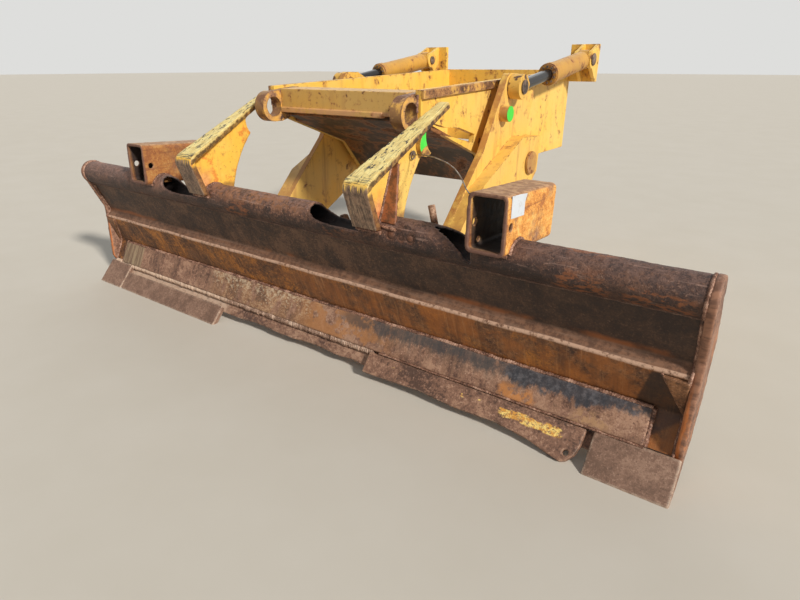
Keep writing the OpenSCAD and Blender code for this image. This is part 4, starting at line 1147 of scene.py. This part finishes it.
blade_beads = [
    (0.62, [(-1473, 62, 544), (1473, 62, 544)]),
    (1.05, [(-1394, 147, 210), (1394, 147, 210)]),
    (0.6, [(430, 91, 104), (1396, 91, 104)]),
    (1.0, [(-955, 27, 613), (-834, 27, 613)]),
    (1.0, [(834, 27, 613), (955, 27, 613)]),
]
for side in (-1, 1):
    blade_beads += [
        (0.8, [(side * 1473, y - 3, z) for y, z in PROFILE]),
        (0.8, round_roll(side * 1474, 245, 10)),
        (1.2, [(side * 1397, 149, 207), (side * 1397, 99, 103)]),
        (0.55, [(side * 1402, 101, 350), (side * 1472, 153, 212)]),
        (0.9, [(side * 402, 14, 613), (side * 504, 14, 613)]),
        (1.1, round_roll(side * 479.5, 165, 60)),
        (1.1, round_roll(side * 448.5, 165, 20)),
        (0.8, [(side * 480, 34, 628), (side * 549, 34, 626)]),
        (0.7, [(side * 480, 35, 632), (side * 480, 112, 815)]),
        (0.9, round_roll(side * 960, 158, 30)),
    ]
blade_beads.append((0.9, round_roll(-830, 158, 30)))
fillet = [(2.3, [(-1474, 105, 95), (400, 105, 93)])]
nose_beads = [(0.8, [(side * 388, 394, 958), (side * 388, 394, 1022)]) for side in (-1, 1)]


def weld_shade_finish(tree):
    """Darker where the roll meets the moldboard: painted shade under the roll's overhang"""
    y, z = axes(place_of(tree))[1:]
    # Darker seam under the roll: painted shade
    yield (66, 46, 37), span(y, -1.852, -1.826, 0.004), span(z, -0.37, -0.344, 0.004), 0.72


weld_metal = rusty("weld metal", (74, 48, 36), (130, 90, 70), (186, 148, 126), scale=22, specks=1,
                   depth=0.002, more=weld_shade_finish)
# Pale tones: dust, and painted light in place of the shade along the fillet
fillet_metal = rusty("fillet metal", (112, 84, 68), (156, 124, 104), (200, 172, 150), scale=18, specks=1,
                     depth=0.002, more=base_finish)
for label, body, slot, metal, runs in (("blade_welds", "blade", "rusted_steel", weld_metal, blade_beads),
                                       ("edge_fillet", "blade", "rusted_steel", fillet_metal, fillet),
                                       ("ear_welds", "frame_nose", "yellow_paint", weld_metal, nose_beads)):
    points, edges, sizes = [], [], []
    for share, run in runs:
        edges += [(len(points) + k, len(points) + k + 1) for k in range(len(run) - 1)]
        points += [on_blade(*place) for place in run]
        sizes += [share] * len(run)
    lines = bpy.data.meshes.new("lines")
    lines.from_pydata(points, edges, [])
    lines.attributes.new("size", "FLOAT", "POINT").data.foreach_set("value", sizes)
    welds = formed(bead, {"Radius": 0.007, "Spacing": 0.009, "Seed": 3.0, "Metal": metal}, lines)
    add_piece(label, outward(welds, 60), body, [], metal, slot)

bolts, takes = shared(
    "bolt ring", {"Geometry": (GEOMETRY, None), "Count": ("NodeSocketInt", 10), "Circle": (FLOAT, 0.036),
                  "Head": (FLOAT, 0.0055), "Height": (FLOAT, 0.005), "Metal": METAL},
    {"Geometry": GEOMETRY}, "GeometryNodeTree")
spots = step(bolts, "GeometryNodeMeshCircle", {"Vertices": takes["Count"], "Radius": takes["Circle"]})[0]
head = step(bolts, "GeometryNodeMeshCylinder", {
    "Vertices": 6, "Radius": takes["Head"], "Depth": takes["Height"]})[0]
ring = step(bolts, "GeometryNodeInstanceOnPoints", {"Points": spots, "Instance": head})[0]
ring = step(bolts, "GeometryNodeRealizeInstances", {"Geometry": ring})[0]
ring = step(bolts, "GeometryNodeSetMaterial", {"Geometry": ring, "Material": takes["Metal"]})[0]
step(bolts, "NodeGroupOutput", {0: ring})
BASE_AT, EYE_AT, BARREL_LEN, CYLINDER_X = (1800, 1150), (1000, 1035), 495, 505
reach = math.dist(BASE_AT, EYE_AT)
slope = ((EYE_AT[0] - BASE_AT[0]) / reach, (EYE_AT[1] - BASE_AT[1]) / reach)
bolts_out = BARREL_LEN + 2
for tip, side in zip(TIPS, (-1, 1)):
    heads = formed(bolts, {"Count": 10, "Circle": 0.036, "Head": 0.0055, "Height": 0.008,
                           "Metal": pin_steel}, bpy.data.meshes.new("empty"))
    turned = Vector((0, *slope)).to_track_quat("Z", "X").to_matrix().to_4x4()
    turned.translation = on_blade(side * CYLINDER_X, BASE_AT[0] + slope[0] * bolts_out,
                                  BASE_AT[1] + slope[1] * bolts_out)
    heads.transform(turned)
    add_piece(f"gland_bolts_{tip}", outward(heads), f"barrel_{tip}", [], pin_steel, "pin_steel")
